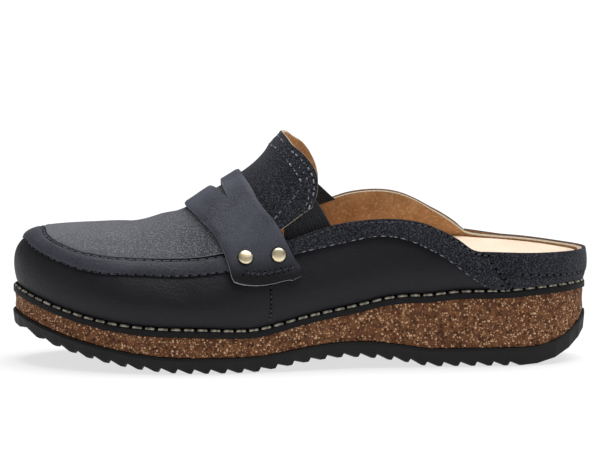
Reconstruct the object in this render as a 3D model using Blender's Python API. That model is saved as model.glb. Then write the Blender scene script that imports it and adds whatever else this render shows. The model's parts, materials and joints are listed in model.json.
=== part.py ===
"""A backless loafer clog for the left foot, at its real size, in metres.

+X runs to the toe, +Y to the wearer's left, which is the clog's outer side, and +Z is up.
The origin is on the floor below the middle of the clog.

Every piece is worked out from three functions: sole_edge, the outline of the sole, level, the
heights of its layers, and skin, the outside of the upper over the last. On skin a point has a
turn around the clog, a climb from the upper's lower edge to its crown, and a lift off it.
"""
import math
from collections import namedtuple

import bmesh
import bpy
from mathutils import Vector

# The plan of the sole
SOLE_LENGTH = 0.2610
HEEL_WIDTH = 0.0630
BALL_OUTER = 0.0475          # from the long axis to the outer side of the ball
BALL_INNER = 0.0475
TIP_SWING = -0.0100          # how far the toe tip lies off the long axis, to the inner side

# The sole's layers, from the floor up
TOE_SPRING = 0.0170
ARCH_RISE = 0.0049
HEEL_CURL = 0.0148
TREAD_FORE = 0.0070
TREAD_HEEL = 0.0083
CORK_FORE = 0.0084
CORK_HEEL = 0.0222
RAND_THICK = 0.0034
RAND_WIDTH = 0.0062
FOOTBED_FORE = 0.0050
FOOTBED_HEEL = 0.0142
FOOTBED_CUP = 0.0030

# The sawteeth of the tread
TOOTH_PITCH = 0.0075
TOOTH_DEPTH = 0.0019
TOOTH_LAND = 0.0014
TOOTH_STEEP = 0.0011
TOOTH_COUNT = 30
FIRST_TOOTH = 0.920          # share of half the length, from the middle to the first tooth's tip
LIP_ROUND = 0.0012
TREAD_INSET = 0.0036         # the tread narrows this much below the outsole's lip
CORK_INSET = 0.0008
RAND_INSET = 0.0003
BED_CLEAR = 0.0010

# The upper, over the last
UPPER_WALL = 0.0020
UPPER_INSET = 0.0025         # the upper's foot stands this far in from the sole's edge
SIDE_SWELL = 0.0046          # how far the wall swells out above its foot
SWELL_HEIGHT = 0.0360
SWELL_PEAK = 4 / 27          # of up * (1 - up)**2, the swell's shape
TOE_TOP = 0.0609
TONGUE_TOP = 0.1040
HEEL_RIM = 0.0504
OUTER_QUARTER = 0.0661
INNER_QUARTER = 0.0750

# What is laid over the upper
APRON_THICK = 0.0012
ROLL_THICK = 0.0013
BAND_THICK = 0.0010
CUFF_THICK = 0.0011
STRAP_THICK = 0.0016
TONGUE_THICK = 0.0018
GORE_THICK = 0.0012
SLOT_LENGTH = 0.0480          # across the strap, with a bow forward at both its edges
SLOT_FRONT_BOW = 0.0080
SLOT_BACK_BOW = 0.0024
RIVET_WIDTH = 0.0064
RIVET_RISE = 0.0016
GAP = 0.0003
LAY_GAP = 0.0006             # below what lies on the upper, whose facets bow a little
BAND_LIFT = 0.0008           # below the collar bands, which reach round to the heel's curve

# Shares of the sole's length, from the heel's back
HEEL_FAN = 0.171
TOE_FAN = 0.793
THROAT = 0.601
THROAT_FOOT = 0.536
OUTER_TOE_START = 0.675
INNER_TOE_START = 0.734
SPRING_START = 0.695
CURL_START = 0.131

# How square the curves are: 2 is an ellipse
HEEL_SQUARE = 2.2
OUTER_TOE_SQUARE = 1.8
INNER_TOE_SQUARE = 2.3
SIDE_SQUARE = 2.1
FRONT_SQUARE = 4.9
CURL_POWER = 2.6

# Rows of the upper's grid, as shares of its climb, closer together over the swell
UPPER_ROWS = (0.0, 0.015, 0.05, 0.11, 0.17, 0.24, 0.32, 0.42, 0.54, 0.68, 0.84, 1.0)

MERGE = 1e-6                  # points closer than this are one
TURN_STEP = 0.01              # radians either way when a surface's direction is taken
STATION_CLEAR = 0.012         # shares of the length kept between two stations

Plan = namedtuple("Plan", "along widening")
OUTER_PLAN = (Plan(0.171, 0.00), Plan(0.299, 0.03), Plan(0.418, 0.15), Plan(0.546, 0.64),
              Plan(0.675, 1.00))
INNER_PLAN = (Plan(0.171, 0.00), Plan(0.299, -0.13), Plan(0.428, -0.23), Plan(0.556, 0.23),
              Plan(0.655, 0.74), Plan(0.734, 1.00))

# The wall swells less round toe and heel
Swell = namedtuple("Swell", "along share")
SWELL = (Swell(0.00, 0.46), Swell(0.10, 0.90), Swell(0.20, 1.00), Swell(0.80, 1.00),
         Swell(0.93, 0.72), Swell(1.00, 0.43))

Spine = namedtuple("Spine", "along swing")
SPINE = (Spine(0.000, 0.00), Spine(0.171, 0.00), Spine(0.448, 0.04), Spine(0.596, 0.02),
         Spine(0.793, -0.08))

Arch = namedtuple("Arch", "along rise")
ARCH = (Arch(0.275, 0.0), Arch(0.333, 0.50), Arch(0.390, 0.90), Arch(0.438, 1.0),
        Arch(0.497, 0.70), Arch(0.556, 0.22), Arch(0.596, 0.0))

# heel is the share of the heel's thickness, and the rest is the forefoot's;
# bed_arch is how far the footbed's inner edge rises over it, as a share of its heel's thickness
Layer = namedtuple("Layer", "along tread_heel cork_heel bed_heel bed_arch")
LAYERS = (Layer(0.000, 1.00, 1.16, 0.86, 0.00), Layer(0.081, 1.00, 1.11, 0.94, 0.09),
          Layer(0.161, 1.00, 1.01, 1.00, 0.25), Layer(0.250, 0.95, 0.98, 1.05, 0.32),
          Layer(0.339, 0.60, 0.71, 0.85, 0.28), Layer(0.423, 0.20, 0.27, 0.60, 0.17),
          Layer(0.507, 0.00, 0.13, 0.35, 0.07), Layer(0.596, 0.00, 0.00, 0.18, 0.00),
          Layer(0.705, 0.00, 0.06, 0.05, 0.00), Layer(0.853, 0.10, -0.05, 0.00, 0.00),
          Layer(1.000, 0.00, -0.06, 0.00, 0.00))

# The crown's height: 0 is the toe's top, 1 the tongue's top
Crown = namedtuple("Crown", "along rise")
CROWN = (Crown(0.000, 0.44), Crown(0.171, 0.69), Crown(0.299, 1.18), Crown(0.398, 1.41),
         Crown(0.464, 1.355), Crown(0.532, 0.942), Crown(0.569, 0.68), Crown(0.602, 0.522),
         Crown(0.654, 0.326), Crown(0.695, 0.165), Crown(0.747, 0.07), Crown(0.793, 0.00))

# The topline: 0 is the heel's rim, 1 the quarter's top
Topline = namedtuple("Topline", "along outer inner")
TOPLINE = (Topline(0.000, 0.00, 0.00), Topline(0.102, 0.01, 0.07), Topline(0.151, 0.03, 0.11),
           Topline(0.198, 0.06, 0.19), Topline(0.215, 0.13, 0.335), Topline(0.238, 0.40, 0.50),
           Topline(0.260, 0.60, 0.634), Topline(0.292, 0.835, 0.825), Topline(0.325, 0.96, 0.955),
           Topline(0.363, 1.00, 1.00), Topline(0.408, 0.96, 0.95), Topline(0.448, 0.86, 0.81),
           Topline(0.492, 0.655, 0.64), Topline(0.536, 0.44, 0.45))

# The moccasin seam and the lower edge of its roll, as climbs in degrees
Seam = namedtuple("Seam", "along apron roll")
SEAM = (Seam(0.596, 30.0, 23.0), Seam(0.655, 32.0, 24.6), Seam(0.705, 36.0, 27.5),
        Seam(0.754, 39.0, 29.4), Seam(0.793, 40.6, 30.6), Seam(0.829, 38.6, 26.2),
        Seam(0.863, 36.0, 22.2), Seam(0.898, 35.2, 19.6), Seam(0.946, 39.8, 21.0),
        Seam(0.973, 45.0, 25.0), Seam(1.000, 56.0, 34.0))
ROLL_SHAPE = ((0.0, 0.45), (0.3, 0.95), (0.7, 1.0), (1.0, 0.6))
SEAM_GROOVE = 1.2            # degrees of climb left open between the apron and its roll
APRON_END = 0.622

# The strap's front and back edges by climb, from its slanted lower end to the crown
Strap = namedtuple("Strap", "climb front back")
STRAP = (Strap(12.0, 0.527, 0.511), Strap(14.0, 0.558, 0.510), Strap(16.0, 0.590, 0.515),
         Strap(17.6, 0.612, 0.519), Strap(19.5, 0.626, 0.523), Strap(25.0, 0.632, 0.533),
         Strap(30.0, 0.636, 0.541), Strap(36.6, 0.642, 0.552), Strap(42.0, 0.649, 0.562),
         Strap(49.0, 0.659, 0.573), Strap(58.0, 0.671, 0.582), Strap(75.8, 0.688, 0.595),
         Strap(90.0, 0.695, 0.599))
STRAP_FLAT = 15.0            # the strap lies on the wall up to this climb
STRAP_RAISED = 25.0          # and over apron and tongue from this one
SLOT_PLACE = 0.629

Rivet = namedtuple("Rivet", "name along climb")
RIVETS = (Rivet("front", 0.604, 27.0), Rivet("back", 0.547, 21.8))

# The tongue's free edge by climb
Tongue = namedtuple("Tongue", "climb outer inner")
TONGUE = (Tongue(30.5, 0.487, 0.474), Tongue(33.4, 0.479, 0.462), Tongue(38.3, 0.476, 0.464),
          Tongue(42.7, 0.480, 0.470), Tongue(52.0, 0.496, 0.486), Tongue(64.6, 0.515, 0.508),
          Tongue(90.0, 0.527, 0.527))
TONGUE_FRONT = 0.618

# The lower edges of the collar bands and of the heel's cuff, and where both end
Band = namedtuple("Band", "along climb")
COLLAR = (Band(0.142, 0.9), Band(0.180, 1.4), Band(0.195, 3.0), Band(0.212, 5.1),
          Band(0.228, 7.3), Band(0.244, 9.6), Band(0.269, 12.6), Band(0.299, 14.9),
          Band(0.337, 16.6), Band(0.378, 17.2), Band(0.438, 16.7), Band(0.477, 17.2),
          Band(0.527, 19.2))
CUFF = (Band(0.000, 5.0), Band(0.071, 6.1), Band(0.136, 7.2), Band(0.171, 7.9), Band(0.220, 9.5))
COLLAR_FOOT_END = 0.150
COLLAR_TOP_END = 0.200
CUFF_TOP_END = 0.193
CUFF_FOOT_END = 0.163
EDGE_STEP = 0.3              # degrees that a band stays below the edge
BAND_CLEAR = 0.002           # share of the length left open between a band and its neighbour

# The elastic gore between tongue and quarter
Gore = namedtuple("Gore", "name side front foot head")
GORES = (Gore("outer", 1, 0.534, 0.449, 0.481), Gore("inner", -1, 0.534, 0.431, 0.462))
GORE_STEP = 0.5              # degrees over the quarter's edge where it starts to lean out
GORE_TUCK = 2.5              # degrees of climb that it reaches under the tongue
GORE_FOOT_TUCK = 1.0         # and inside the quarter


def read(rows, column, along):
    """Smooth value of a table's column at a share of the length."""
    spots = [row[0] for row in rows]
    values = [getattr(row, column) for row in rows]
    last = len(rows) - 1
    if along <= spots[0]:
        return values[0]
    if along >= spots[last]:
        return values[last]
    slopes = [0.0] * len(rows)
    for index in range(1, last):
        slopes[index] = ((values[index + 1] - values[index - 1])
                         / (spots[index + 1] - spots[index - 1]))
    index = max(i for i in range(last) if spots[i] <= along)
    step = spots[index + 1] - spots[index]
    t = (along - spots[index]) / step
    return (values[index] * (2 * t**3 - 3 * t**2 + 1)
            + values[index + 1] * (3 * t**2 - 2 * t**3)
            + slopes[index] * step * (t**3 - 2 * t**2 + t)
            + slopes[index + 1] * step * (t**3 - t**2))


def squared(share, square):
    """Quarter of a squared circle: 0 at share 0 and 1 at share 1."""
    inside = max(0.0, 1.0 - max(0.0, 1.0 - share)**square)
    return math.sqrt(inside)


def edge_width(side, along):
    """Distance from the long axis to the sole's edge, signed like side."""
    half_heel = HEEL_WIDTH / 2
    ball = BALL_OUTER if side > 0 else BALL_INNER
    toe_start = OUTER_TOE_START if side > 0 else INNER_TOE_START
    toe_square = OUTER_TOE_SQUARE if side > 0 else INNER_TOE_SQUARE
    if along < HEEL_FAN:
        return side * half_heel * squared(along / HEEL_FAN, HEEL_SQUARE)
    if along > toe_start:
        left = (1.0 - along) / (1.0 - toe_start)
        return TIP_SWING + (side * ball - TIP_SWING) * squared(left, toe_square)
    plan = OUTER_PLAN if side > 0 else INNER_PLAN
    return side * (half_heel + (ball - half_heel) * read(plan, "widening", along))


def along_at(turn):
    """Share of the length at a turn: 0 is the heel's back, pi the toe tip, and below pi is outer."""
    return (1.0 - math.cos(turn)) / 2


def turn_at(side, along):
    turn = math.acos(1.0 - 2.0 * min(max(along, 0.0), 1.0))
    return turn if side > 0 else 2 * math.pi - turn


def bare_edge(turn):
    side = 1 if math.sin(turn) >= 0 else -1
    along = along_at(turn)
    return Vector((SOLE_LENGTH * (along - 0.5), edge_width(side, along), 0.0))


def edge_normal(turn):
    """Level direction out of the sole's edge."""
    tangent = bare_edge(turn + TURN_STEP / 2) - bare_edge(turn - TURN_STEP / 2)
    return Vector((-tangent.y, tangent.x, 0.0)).normalized()


def sole_edge(turn, inset):
    return bare_edge(turn) - edge_normal(turn) * inset


def base_level(along):
    """Height over the floor that toe spring and arch give every layer."""
    spring = max(0.0, (along - SPRING_START) / (1.0 - SPRING_START))**2
    return TOE_SPRING * spring + ARCH_RISE * read(ARCH, "rise", along)


def heel_curl(along):
    """Rise of the outsole round the back of the heel, into the cork."""
    return HEEL_CURL * max(0.0, (CURL_START - along) / CURL_START)**CURL_POWER


def blend(low, high, share):
    return low + (high - low) * share


def bow(share):
    """Parabola that is 0 at shares 0 and 1, and 1 halfway."""
    return 4 * share * (1 - share)


def level(layer, along):
    """Height of the top of a layer: tread, cork, rand or bed."""
    height = base_level(along) + blend(TREAD_FORE, TREAD_HEEL, read(LAYERS, "tread_heel", along))
    if layer == "tread":
        return height + heel_curl(along)
    height += blend(CORK_FORE, CORK_HEEL, read(LAYERS, "cork_heel", along))
    if layer == "cork":
        return height
    height += RAND_THICK
    if layer == "rand":
        return height
    return height + blend(FOOTBED_FORE, FOOTBED_HEEL, read(LAYERS, "bed_heel", along))


def share_of(point):
    return 0.5 + point.x / SOLE_LENGTH


def on_layer(turn, inset, layer, raised=0.0):
    """Point above the sole's edge, set in from it, at the height of a layer's top."""
    point = sole_edge(turn, inset)
    point.z = level(layer, share_of(point)) + raised
    return point


def crown_level(along):
    return blend(TOE_TOP, TONGUE_TOP, read(CROWN, "rise", along))


def spine_point(along):
    """Point below the crown that a section of the upper is drawn around."""
    held = min(max(along, HEEL_FAN), TOE_FAN)
    swing = BALL_OUTER * read(SPINE, "swing", held)
    return Vector((SOLE_LENGTH * (held - 0.5), swing, 0.0)), held


def section(turn):
    """Foot point, spine point, foot height, crown height and squareness at a turn."""
    along = along_at(turn)
    foot = sole_edge(turn, UPPER_INSET)
    spine, held = spine_point(along)
    ahead = 0.0
    if along > TOE_FAN:
        ahead = (foot.x - spine.x) / (foot - spine).length
    square = blend(SIDE_SQUARE, FRONT_SQUARE, max(0.0, ahead))
    return foot, spine, level("rand", share_of(foot)) + GAP, crown_level(held), square


def bare_skin(turn, climb):
    foot, spine, low, high, square = section(turn)
    angle = math.radians(min(max(climb, 0.0), 90.0))
    rise = (high - low) * max(0.0, math.sin(angle))**(2 / square)
    reach = max(0.0, math.cos(angle))**(2 / square)
    up = min(1.0, rise / SWELL_HEIGHT)
    swell = SIDE_SWELL * read(SWELL, "share", along_at(turn)) * up * (1.0 - up)**2 / SWELL_PEAK
    point = spine + (foot - spine) * reach + edge_normal(turn) * swell
    point.z = low + rise
    return point


def skin_normal(turn, climb):
    if climb > 89.0:
        held = spine_point(along_at(turn))[1]
        slope = crown_level(held + TURN_STEP / 2) - crown_level(held - TURN_STEP / 2)
        return Vector((-slope, 0.0, TURN_STEP * SOLE_LENGTH)).normalized()
    around = bare_skin(turn - TURN_STEP, climb) - bare_skin(turn + TURN_STEP, climb)
    upward = bare_skin(turn, climb + 1.0) - bare_skin(turn, max(climb - 1.0, 0.0))
    return around.cross(upward).normalized()


def skin(turn, climb, lift):
    """Point at a turn and a climb, lifted off the upper's outside."""
    return bare_skin(turn, climb) + skin_normal(turn, climb) * lift


def climb_at(turn, height):
    """Climb at which the upper reaches a height over the floor."""
    low, high, square = section(turn)[2:]
    share = min(max((height - low) / (high - low), 0.0), 1.0)
    return math.degrees(math.asin(share**(square / 2)))


def top_climb(turn):
    """Climb of the upper's upper edge: the topline, the throat's edge, or the crown."""
    side = 1 if math.sin(turn) >= 0 else -1
    along = along_at(turn)
    top = OUTER_QUARTER if side > 0 else INNER_QUARTER
    share = read(TOPLINE, "outer" if side > 0 else "inner", along)
    quarter = climb_at(turn, blend(HEEL_RIM, top, share))
    if along <= THROAT_FOOT:
        return quarter
    if along >= THROAT:
        return 90.0
    forward = (along - THROAT_FOOT) / (THROAT - THROAT_FOOT)
    return 90.0 - (90.0 - quarter) * math.sqrt(1.0 - forward**2)


def stations(heel_steps, side_steps, toe_steps):
    """Shares of the length from heel to toe, closer together round the ends."""
    heel = [HEEL_FAN * (1 - math.cos(math.pi / 2 * i / heel_steps)) for i in range(heel_steps)]
    sides = [blend(HEEL_FAN, TOE_FAN, i / side_steps) for i in range(side_steps)]
    toe = [TOE_FAN + (1 - TOE_FAN) * math.sin(math.pi / 2 * i / toe_steps)
           for i in range(toe_steps + 1)]
    return heel + sides + toe


def all_stations():
    """Stations that the sole's layers, the upper and what lies on it share."""
    set_ones = [blend(THROAT_FOOT, THROAT, share) for share in (0.0, 0.35, 0.65, 0.85, 0.96, 1.0)]
    set_ones += [APRON_END] + [row.along for row in TOPLINE if 0.19 < row.along < 0.30]
    even = [along for along in stations(6, 13, 8)
            if min(abs(along - spot) for spot in set_ones) > STATION_CLEAR]
    return sorted(even + set_ones)


def turns_around(shares):
    outer = [turn_at(1, along) for along in shares]
    inner = [turn_at(-1, along) for along in reversed(shares[:-1])]
    return outer + inner


def material(name, colour, roughness, metallic=0.0):
    finish = bpy.data.materials.new(name)
    finish.use_nodes = True
    shader = finish.node_tree.nodes["Principled BSDF"]
    shader.inputs["Base Color"].default_value = (*colour, 1.0)
    shader.inputs["Roughness"].default_value = roughness
    shader.inputs["Metallic"].default_value = metallic
    return finish


def add_object(name, mesh, collection, finish):
    piece = bpy.data.objects.new(name, mesh)
    collection.objects.link(piece)
    mesh.materials.append(finish)
    mesh.shade_smooth()
    mesh.set_sharp_from_angle(angle=math.radians(35))
    return piece


def warped_grid(rows):
    """Mesh of a grid whose points are given row by row, with points that meet merged."""
    form = bmesh.new()
    bmesh.ops.create_grid(form, x_segments=len(rows[0]) - 1, y_segments=len(rows) - 1, size=0.5)
    form.verts.ensure_lookup_table()
    width = len(rows[0])
    for index, vertex in enumerate(form.verts):
        vertex.co = rows[index // width][index % width]
    bmesh.ops.remove_doubles(form, verts=form.verts, dist=MERGE)
    return form


def turn_outward(form):
    if form.calc_volume(signed=True) < 0:
        bmesh.ops.reverse_faces(form, faces=form.faces)


def finish_mesh(name, form):
    mesh = bpy.data.meshes.new(name)
    form.to_mesh(mesh)
    form.free()
    return mesh


def leather_sheet(name, rows, collection, finish):
    """Sheet over the last. rows hold spots: a turn, a climb, and the lifts of its two faces."""
    form = bmesh.new()
    form.verts.layers.float_vector.new("far")
    bmesh.ops.create_grid(form, x_segments=len(rows[0]) - 1, y_segments=len(rows) - 1, size=0.5)
    far = form.verts.layers.float_vector["far"]
    spots = [spot for row in rows for spot in row]
    for vertex, (turn, climb, low, high) in zip(form.verts, spots):
        vertex.co = skin(turn, climb, low)
        vertex[far] = skin(turn, climb, high)
    bmesh.ops.remove_doubles(form, verts=form.verts, dist=MERGE)
    raised = bmesh.ops.extrude_face_region(form, geom=form.faces[:], use_keep_orig=True)
    far = form.verts.layers.float_vector["far"]
    for item in raised["geom"]:
        if isinstance(item, bmesh.types.BMVert):
            item.co = item[far]
    bmesh.ops.recalc_face_normals(form, faces=form.faces)
    turn_outward(form)
    return add_object(name, finish_mesh(name, form), collection, finish)


def closed_loft(name, rings, collection, finish):
    """Solid through closed rings, whose first and last close up to an edge."""
    form = warped_grid([ring + ring[:1] for ring in rings])
    turn_outward(form)
    return add_object(name, finish_mesh(name, form), collection, finish)


def across(start, end, steps, drop):
    """Points between two edge points, lowered in the middle by drop."""
    points = []
    fall = drop * min(1.0, (end - start).length / HEEL_WIDTH)
    for index in range(1, steps):
        share = index / steps
        point = start.lerp(end, share)
        point.z -= fall * bow(share)
        points.append(point)
    return points


def layer_ring(along, side_points):
    """Ring round a sole layer's section: side_points gives a side's points, bottom first."""
    rise = side_points(turn_at(1, along))
    fall = side_points(turn_at(-1, along))[::-1]
    return rise + across(rise[-1], fall[0], 2, 0.0) + fall + across(fall[-1], rise[0], 2, 0.0)


def tread_stations():
    """Shares of the length and tooth depth there: a root and a land for each tooth."""
    spots = []
    first_tip = 0.5 * SOLE_LENGTH * FIRST_TOOTH
    for index in range(TOOTH_COUNT):
        tip = first_tip - index * TOOTH_PITCH
        root = tip + TOOTH_PITCH - TOOTH_LAND - TOOTH_STEEP
        spots.append((0.5 + root / SOLE_LENGTH, TOOTH_DEPTH))
        spots.append((0.5 + tip / SOLE_LENGTH, 0.0))
        spots.append((0.5 + (tip - TOOTH_LAND) / SOLE_LENGTH, 0.0))
    lowest = min(spots)[0]
    highest = max(spots)[0]
    heel = [(along, 0.0) for along in stations(7, 1, 1)[:7] if along < lowest - 0.01]
    toe = [(blend(highest, 1.0, math.sin(math.pi / 2 * i / 3)), 0.0) for i in range(1, 4)]
    return heel + sorted(spots) + toe


def make_outsole(collection, finish):
    rings = []
    for along, depth in tread_stations():
        def side_points(turn):
            foot = sole_edge(turn, TREAD_INSET)
            foot.z = base_level(along) + heel_curl(along) + depth
            heel = sole_edge(turn, LIP_ROUND / 2)
            heel.z = foot.z + LIP_ROUND / 2
            return [foot, heel, on_layer(turn, 0.0, "tread", -LIP_ROUND),
                    on_layer(turn, LIP_ROUND / 2, "tread")]
        rings.append(layer_ring(along, side_points))
    return closed_loft("outsole", rings, collection, finish)


def make_midsole(collection, finish):
    step_inset = RAND_INSET + RAND_WIDTH + GAP

    def side_points(turn):
        return [on_layer(turn, CORK_INSET, "tread", GAP), on_layer(turn, CORK_INSET, "cork"),
                on_layer(turn, step_inset, "cork"), on_layer(turn, step_inset, "rand")]

    rings = [layer_ring(along, side_points) for along in all_stations()]
    return closed_loft("midsole", rings, collection, finish)


def make_rand(collection, finish):
    rows = []
    inside = RAND_INSET + RAND_WIDTH
    for turn in turns_around(all_stations()):
        rows.append([on_layer(turn, RAND_INSET, "cork", GAP), on_layer(turn, RAND_INSET, "rand"),
                     on_layer(turn, inside, "rand"), on_layer(turn, inside, "cork", GAP),
                     on_layer(turn, RAND_INSET, "cork", GAP)])
    form = warped_grid(rows)
    turn_outward(form)
    return add_object("rand", finish_mesh("rand", form), collection, finish)


def bed_side(turn):
    """Edge of the footbed at a turn, bottom first, clear of the upper's inside."""
    inside = -(UPPER_WALL + BED_CLEAR)
    foot = skin(turn, 0.0, inside)
    low = level("rand", share_of(foot)) + GAP
    high = level("bed", along_at(turn))
    if math.sin(turn) < 0:
        high += FOOTBED_HEEL * read(LAYERS, "bed_arch", along_at(turn))
    foot.z = low
    points = [foot]
    for share in (0.33, 0.67, 1.0):
        height = blend(low, high, share)
        sought = height
        for _ in range(5):
            point = skin(turn, climb_at(turn, sought), inside)
            sought += height - point.z
        point.z = height
        points.append(point)
    return points


def make_insole(collection, finish):
    rings = []
    for along in all_stations():
        rise = bed_side(turn_at(1, along))
        fall = bed_side(turn_at(-1, along))[::-1]
        top = across(rise[-1], fall[0], 4, FOOTBED_CUP)
        bottom = across(fall[-1], rise[0], 2, 0.0)
        rings.append(rise + top + fall + bottom)
    return closed_loft("insole", rings, collection, finish)


def make_upper(collection, finish):
    rows = []
    for turn in turns_around(all_stations()):
        top = top_climb(turn)
        rows.append([(turn, top * share, -UPPER_WALL, 0.0) for share in UPPER_ROWS])
    return leather_sheet("upper", rows, collection, finish)


def turns_ahead(start):
    """Turns from a share of the length on the outer side round the toe to the inner side."""
    return turns_around([start] + [along for along in all_stations() if along > start])


def make_apron(collection, finish):
    rows = []
    for turn in turns_ahead(APRON_END):
        seam = read(SEAM, "apron", along_at(turn)) + SEAM_GROOVE
        climbs = [seam] + [max(90.0 * UPPER_ROWS[row], seam + 7.0 + row) for row in (-5, -4, -3, -2)]
        rows.append([(turn, climb, LAY_GAP, LAY_GAP + APRON_THICK) for climb in climbs + [90.0]])
    return leather_sheet("apron", rows, collection, finish)


def make_roll(collection, finish):
    rows = []
    for turn in turns_ahead(APRON_END):
        low = read(SEAM, "roll", along_at(turn))
        high = read(SEAM, "apron", along_at(turn))
        rows.append([(turn, blend(low, high, share), LAY_GAP, LAY_GAP + ROLL_THICK * crown)
                     for share, crown in ROLL_SHAPE])
    return leather_sheet("apron_roll", rows, collection, finish)


def strap_lift(climb):
    """The strap lies on the wall at its ends, and over apron and tongue at the crown."""
    over = LAY_GAP + max(TONGUE_THICK, ROLL_THICK) + GAP
    share = min(1.0, max(0.0, (climb - STRAP_FLAT) / (STRAP_RAISED - STRAP_FLAT)))
    return blend(LAY_GAP, over, share * share * (3 - 2 * share))


def strap_top(turn, climb):
    return skin(turn, climb, strap_lift(climb) + STRAP_THICK)


def strap_normal(turn, climb):
    around = strap_top(turn - TURN_STEP, climb) - strap_top(turn + TURN_STEP, climb)
    upward = strap_top(turn, climb + 1.0) - strap_top(turn, climb - 1.0)
    return around.cross(upward).normalized()


def over_the_crown(climbs):
    """Sides and climbs from the outer side over the crown to the inner side."""
    return [(1, climb) for climb in climbs] + [(-1, climb) for climb in reversed(climbs[:-1])]


def make_strap(collection, cutters, finish):
    rows = []
    climbs = [row.climb for row in STRAP]
    climbs += [blend(low, high, 0.5) for low, high in zip(climbs, climbs[1:]) if high - low > 6]
    for side, climb in over_the_crown(sorted(climbs)):
        front = read(STRAP, "front", climb)
        back = read(STRAP, "back", climb)
        lift = strap_lift(climb)
        rows.append([(turn_at(side, blend(front, back, index / 4)), climb, lift,
                      lift + STRAP_THICK) for index in range(5)])
    strap = leather_sheet("saddle_strap", rows, collection, finish)
    cut = strap.modifiers.new("Slot", "BOOLEAN")
    cut.operation = "DIFFERENCE"
    cut.solver = "EXACT"
    cut.object = slot_cutter(cutters)
    return strap


def slot_cutter(cutters):
    """Upright prism whose plan is a crescent, its points to the sides and its bow forward."""
    steps = 10
    place = SOLE_LENGTH * (SLOT_PLACE - 0.5)
    low = crown_level(SLOT_PLACE) / 2
    high = 2 * crown_level(SLOT_PLACE)
    plan = []
    for height, start in ((SLOT_FRONT_BOW, 0), (SLOT_BACK_BOW, steps)):
        for index in range(steps):
            share = abs(start - index) / steps
            aside = SLOT_LENGTH * (share - 0.5)
            plan.append(Vector((place + height * bow(share), aside, low)))
    form = bmesh.new()
    face = form.faces.new([form.verts.new(point) for point in plan])
    raised = bmesh.ops.extrude_face_region(form, geom=[face])
    top = [item for item in raised["geom"] if isinstance(item, bmesh.types.BMVert)]
    bmesh.ops.translate(form, verts=top, vec=(0.0, 0.0, high - low))
    bmesh.ops.recalc_face_normals(form, faces=form.faces)
    mesh = finish_mesh("slot_cutter", form)
    cutter = bpy.data.objects.new("slot_cutter", mesh)
    cutters.objects.link(cutter)
    cutter.hide_render = True
    cutter.display_type = "WIRE"
    return cutter


def make_rivet(name, side, along, climb, collection, finish):
    """Domed rivet head that sits on the strap."""
    turn = turn_at(side, along)
    form = bmesh.new()
    bmesh.ops.create_uvsphere(form, u_segments=14, v_segments=8, radius=RIVET_WIDTH / 2)
    bmesh.ops.bisect_plane(form, geom=form.verts[:] + form.edges[:] + form.faces[:],
                           plane_co=(0, 0, 0), plane_no=(0, 0, 1), clear_inner=True)
    bmesh.ops.remove_doubles(form, verts=form.verts, dist=MERGE)
    bmesh.ops.holes_fill(form, edges=[edge for edge in form.edges if edge.is_boundary])
    bmesh.ops.scale(form, vec=(1.0, 1.0, RIVET_RISE / (RIVET_WIDTH / 2)), verts=form.verts)
    turn_outward(form)
    rivet = add_object(name, finish_mesh(name, form), collection, finish)
    rivet.rotation_euler = strap_normal(turn, climb).to_track_quat("Z", "Y").to_euler()
    rivet.location = strap_top(turn, climb) + strap_normal(turn, climb) * LAY_GAP
    return rivet


def make_tongue(collection, finish):
    rows = []
    climbs = [row.climb for row in TONGUE]
    climbs += [blend(low, high, 0.5) for low, high in zip(climbs, climbs[1:]) if high - low > 8]
    for side, climb in over_the_crown(sorted(climbs)):
        back = read(TONGUE, "outer" if side > 0 else "inner", climb)
        rows.append([(turn_at(side, blend(TONGUE_FRONT, back, index / 8)), climb, LAY_GAP,
                      LAY_GAP + TONGUE_THICK) for index in range(9)])
    return leather_sheet("tongue", rows, collection, finish)


def make_gore(gore, collection, finish):
    """Elastic panel, its foot inside the quarter and its head under the tongue's edge."""
    rows = []
    head = TONGUE[0].climb + GORE_TUCK
    inside = -(UPPER_WALL + LAY_GAP)
    for step in range(7):
        row = []
        for rise in range(6):
            share = rise / 5
            back = blend(gore.foot, gore.head, share)
            turn = turn_at(gore.side, blend(gore.front, back, step / 6))
            edge = top_climb(turn)
            climb = blend(edge - GORE_FOOT_TUCK, head, share)
            free = min(1.0, max(0.0, (climb - edge - GORE_STEP) / (head - edge - GORE_STEP)))
            outside = blend(inside, 0.0, free)
            row.append((turn, climb, outside - GORE_THICK, outside))
        rows.append(row)
    return leather_sheet("gore_" + gore.name, rows, collection, finish)


def make_collar(name, side, collection, finish):
    """Band along the quarter's topline, from the rand beside the cuff to the strap."""
    rows = []
    for step in range(17):
        row = []
        for rise in range(6):
            share = rise / 5
            back = blend(COLLAR_FOOT_END, COLLAR_TOP_END, share)
            along = blend(back, STRAP[1].back, step / 16)
            for _ in range(3):
                turn = turn_at(side, along)
                climb = blend(read(COLLAR, "climb", along), top_climb(turn) - EDGE_STEP, share)
                front = read(STRAP, "back", max(climb, STRAP[1].climb)) - BAND_CLEAR
                along = blend(back, front, step / 16)
            row.append((turn_at(side, along), climb, BAND_LIFT, BAND_LIFT + BAND_THICK))
        rows.append(row)
    return leather_sheet(name, rows, collection, finish)


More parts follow.
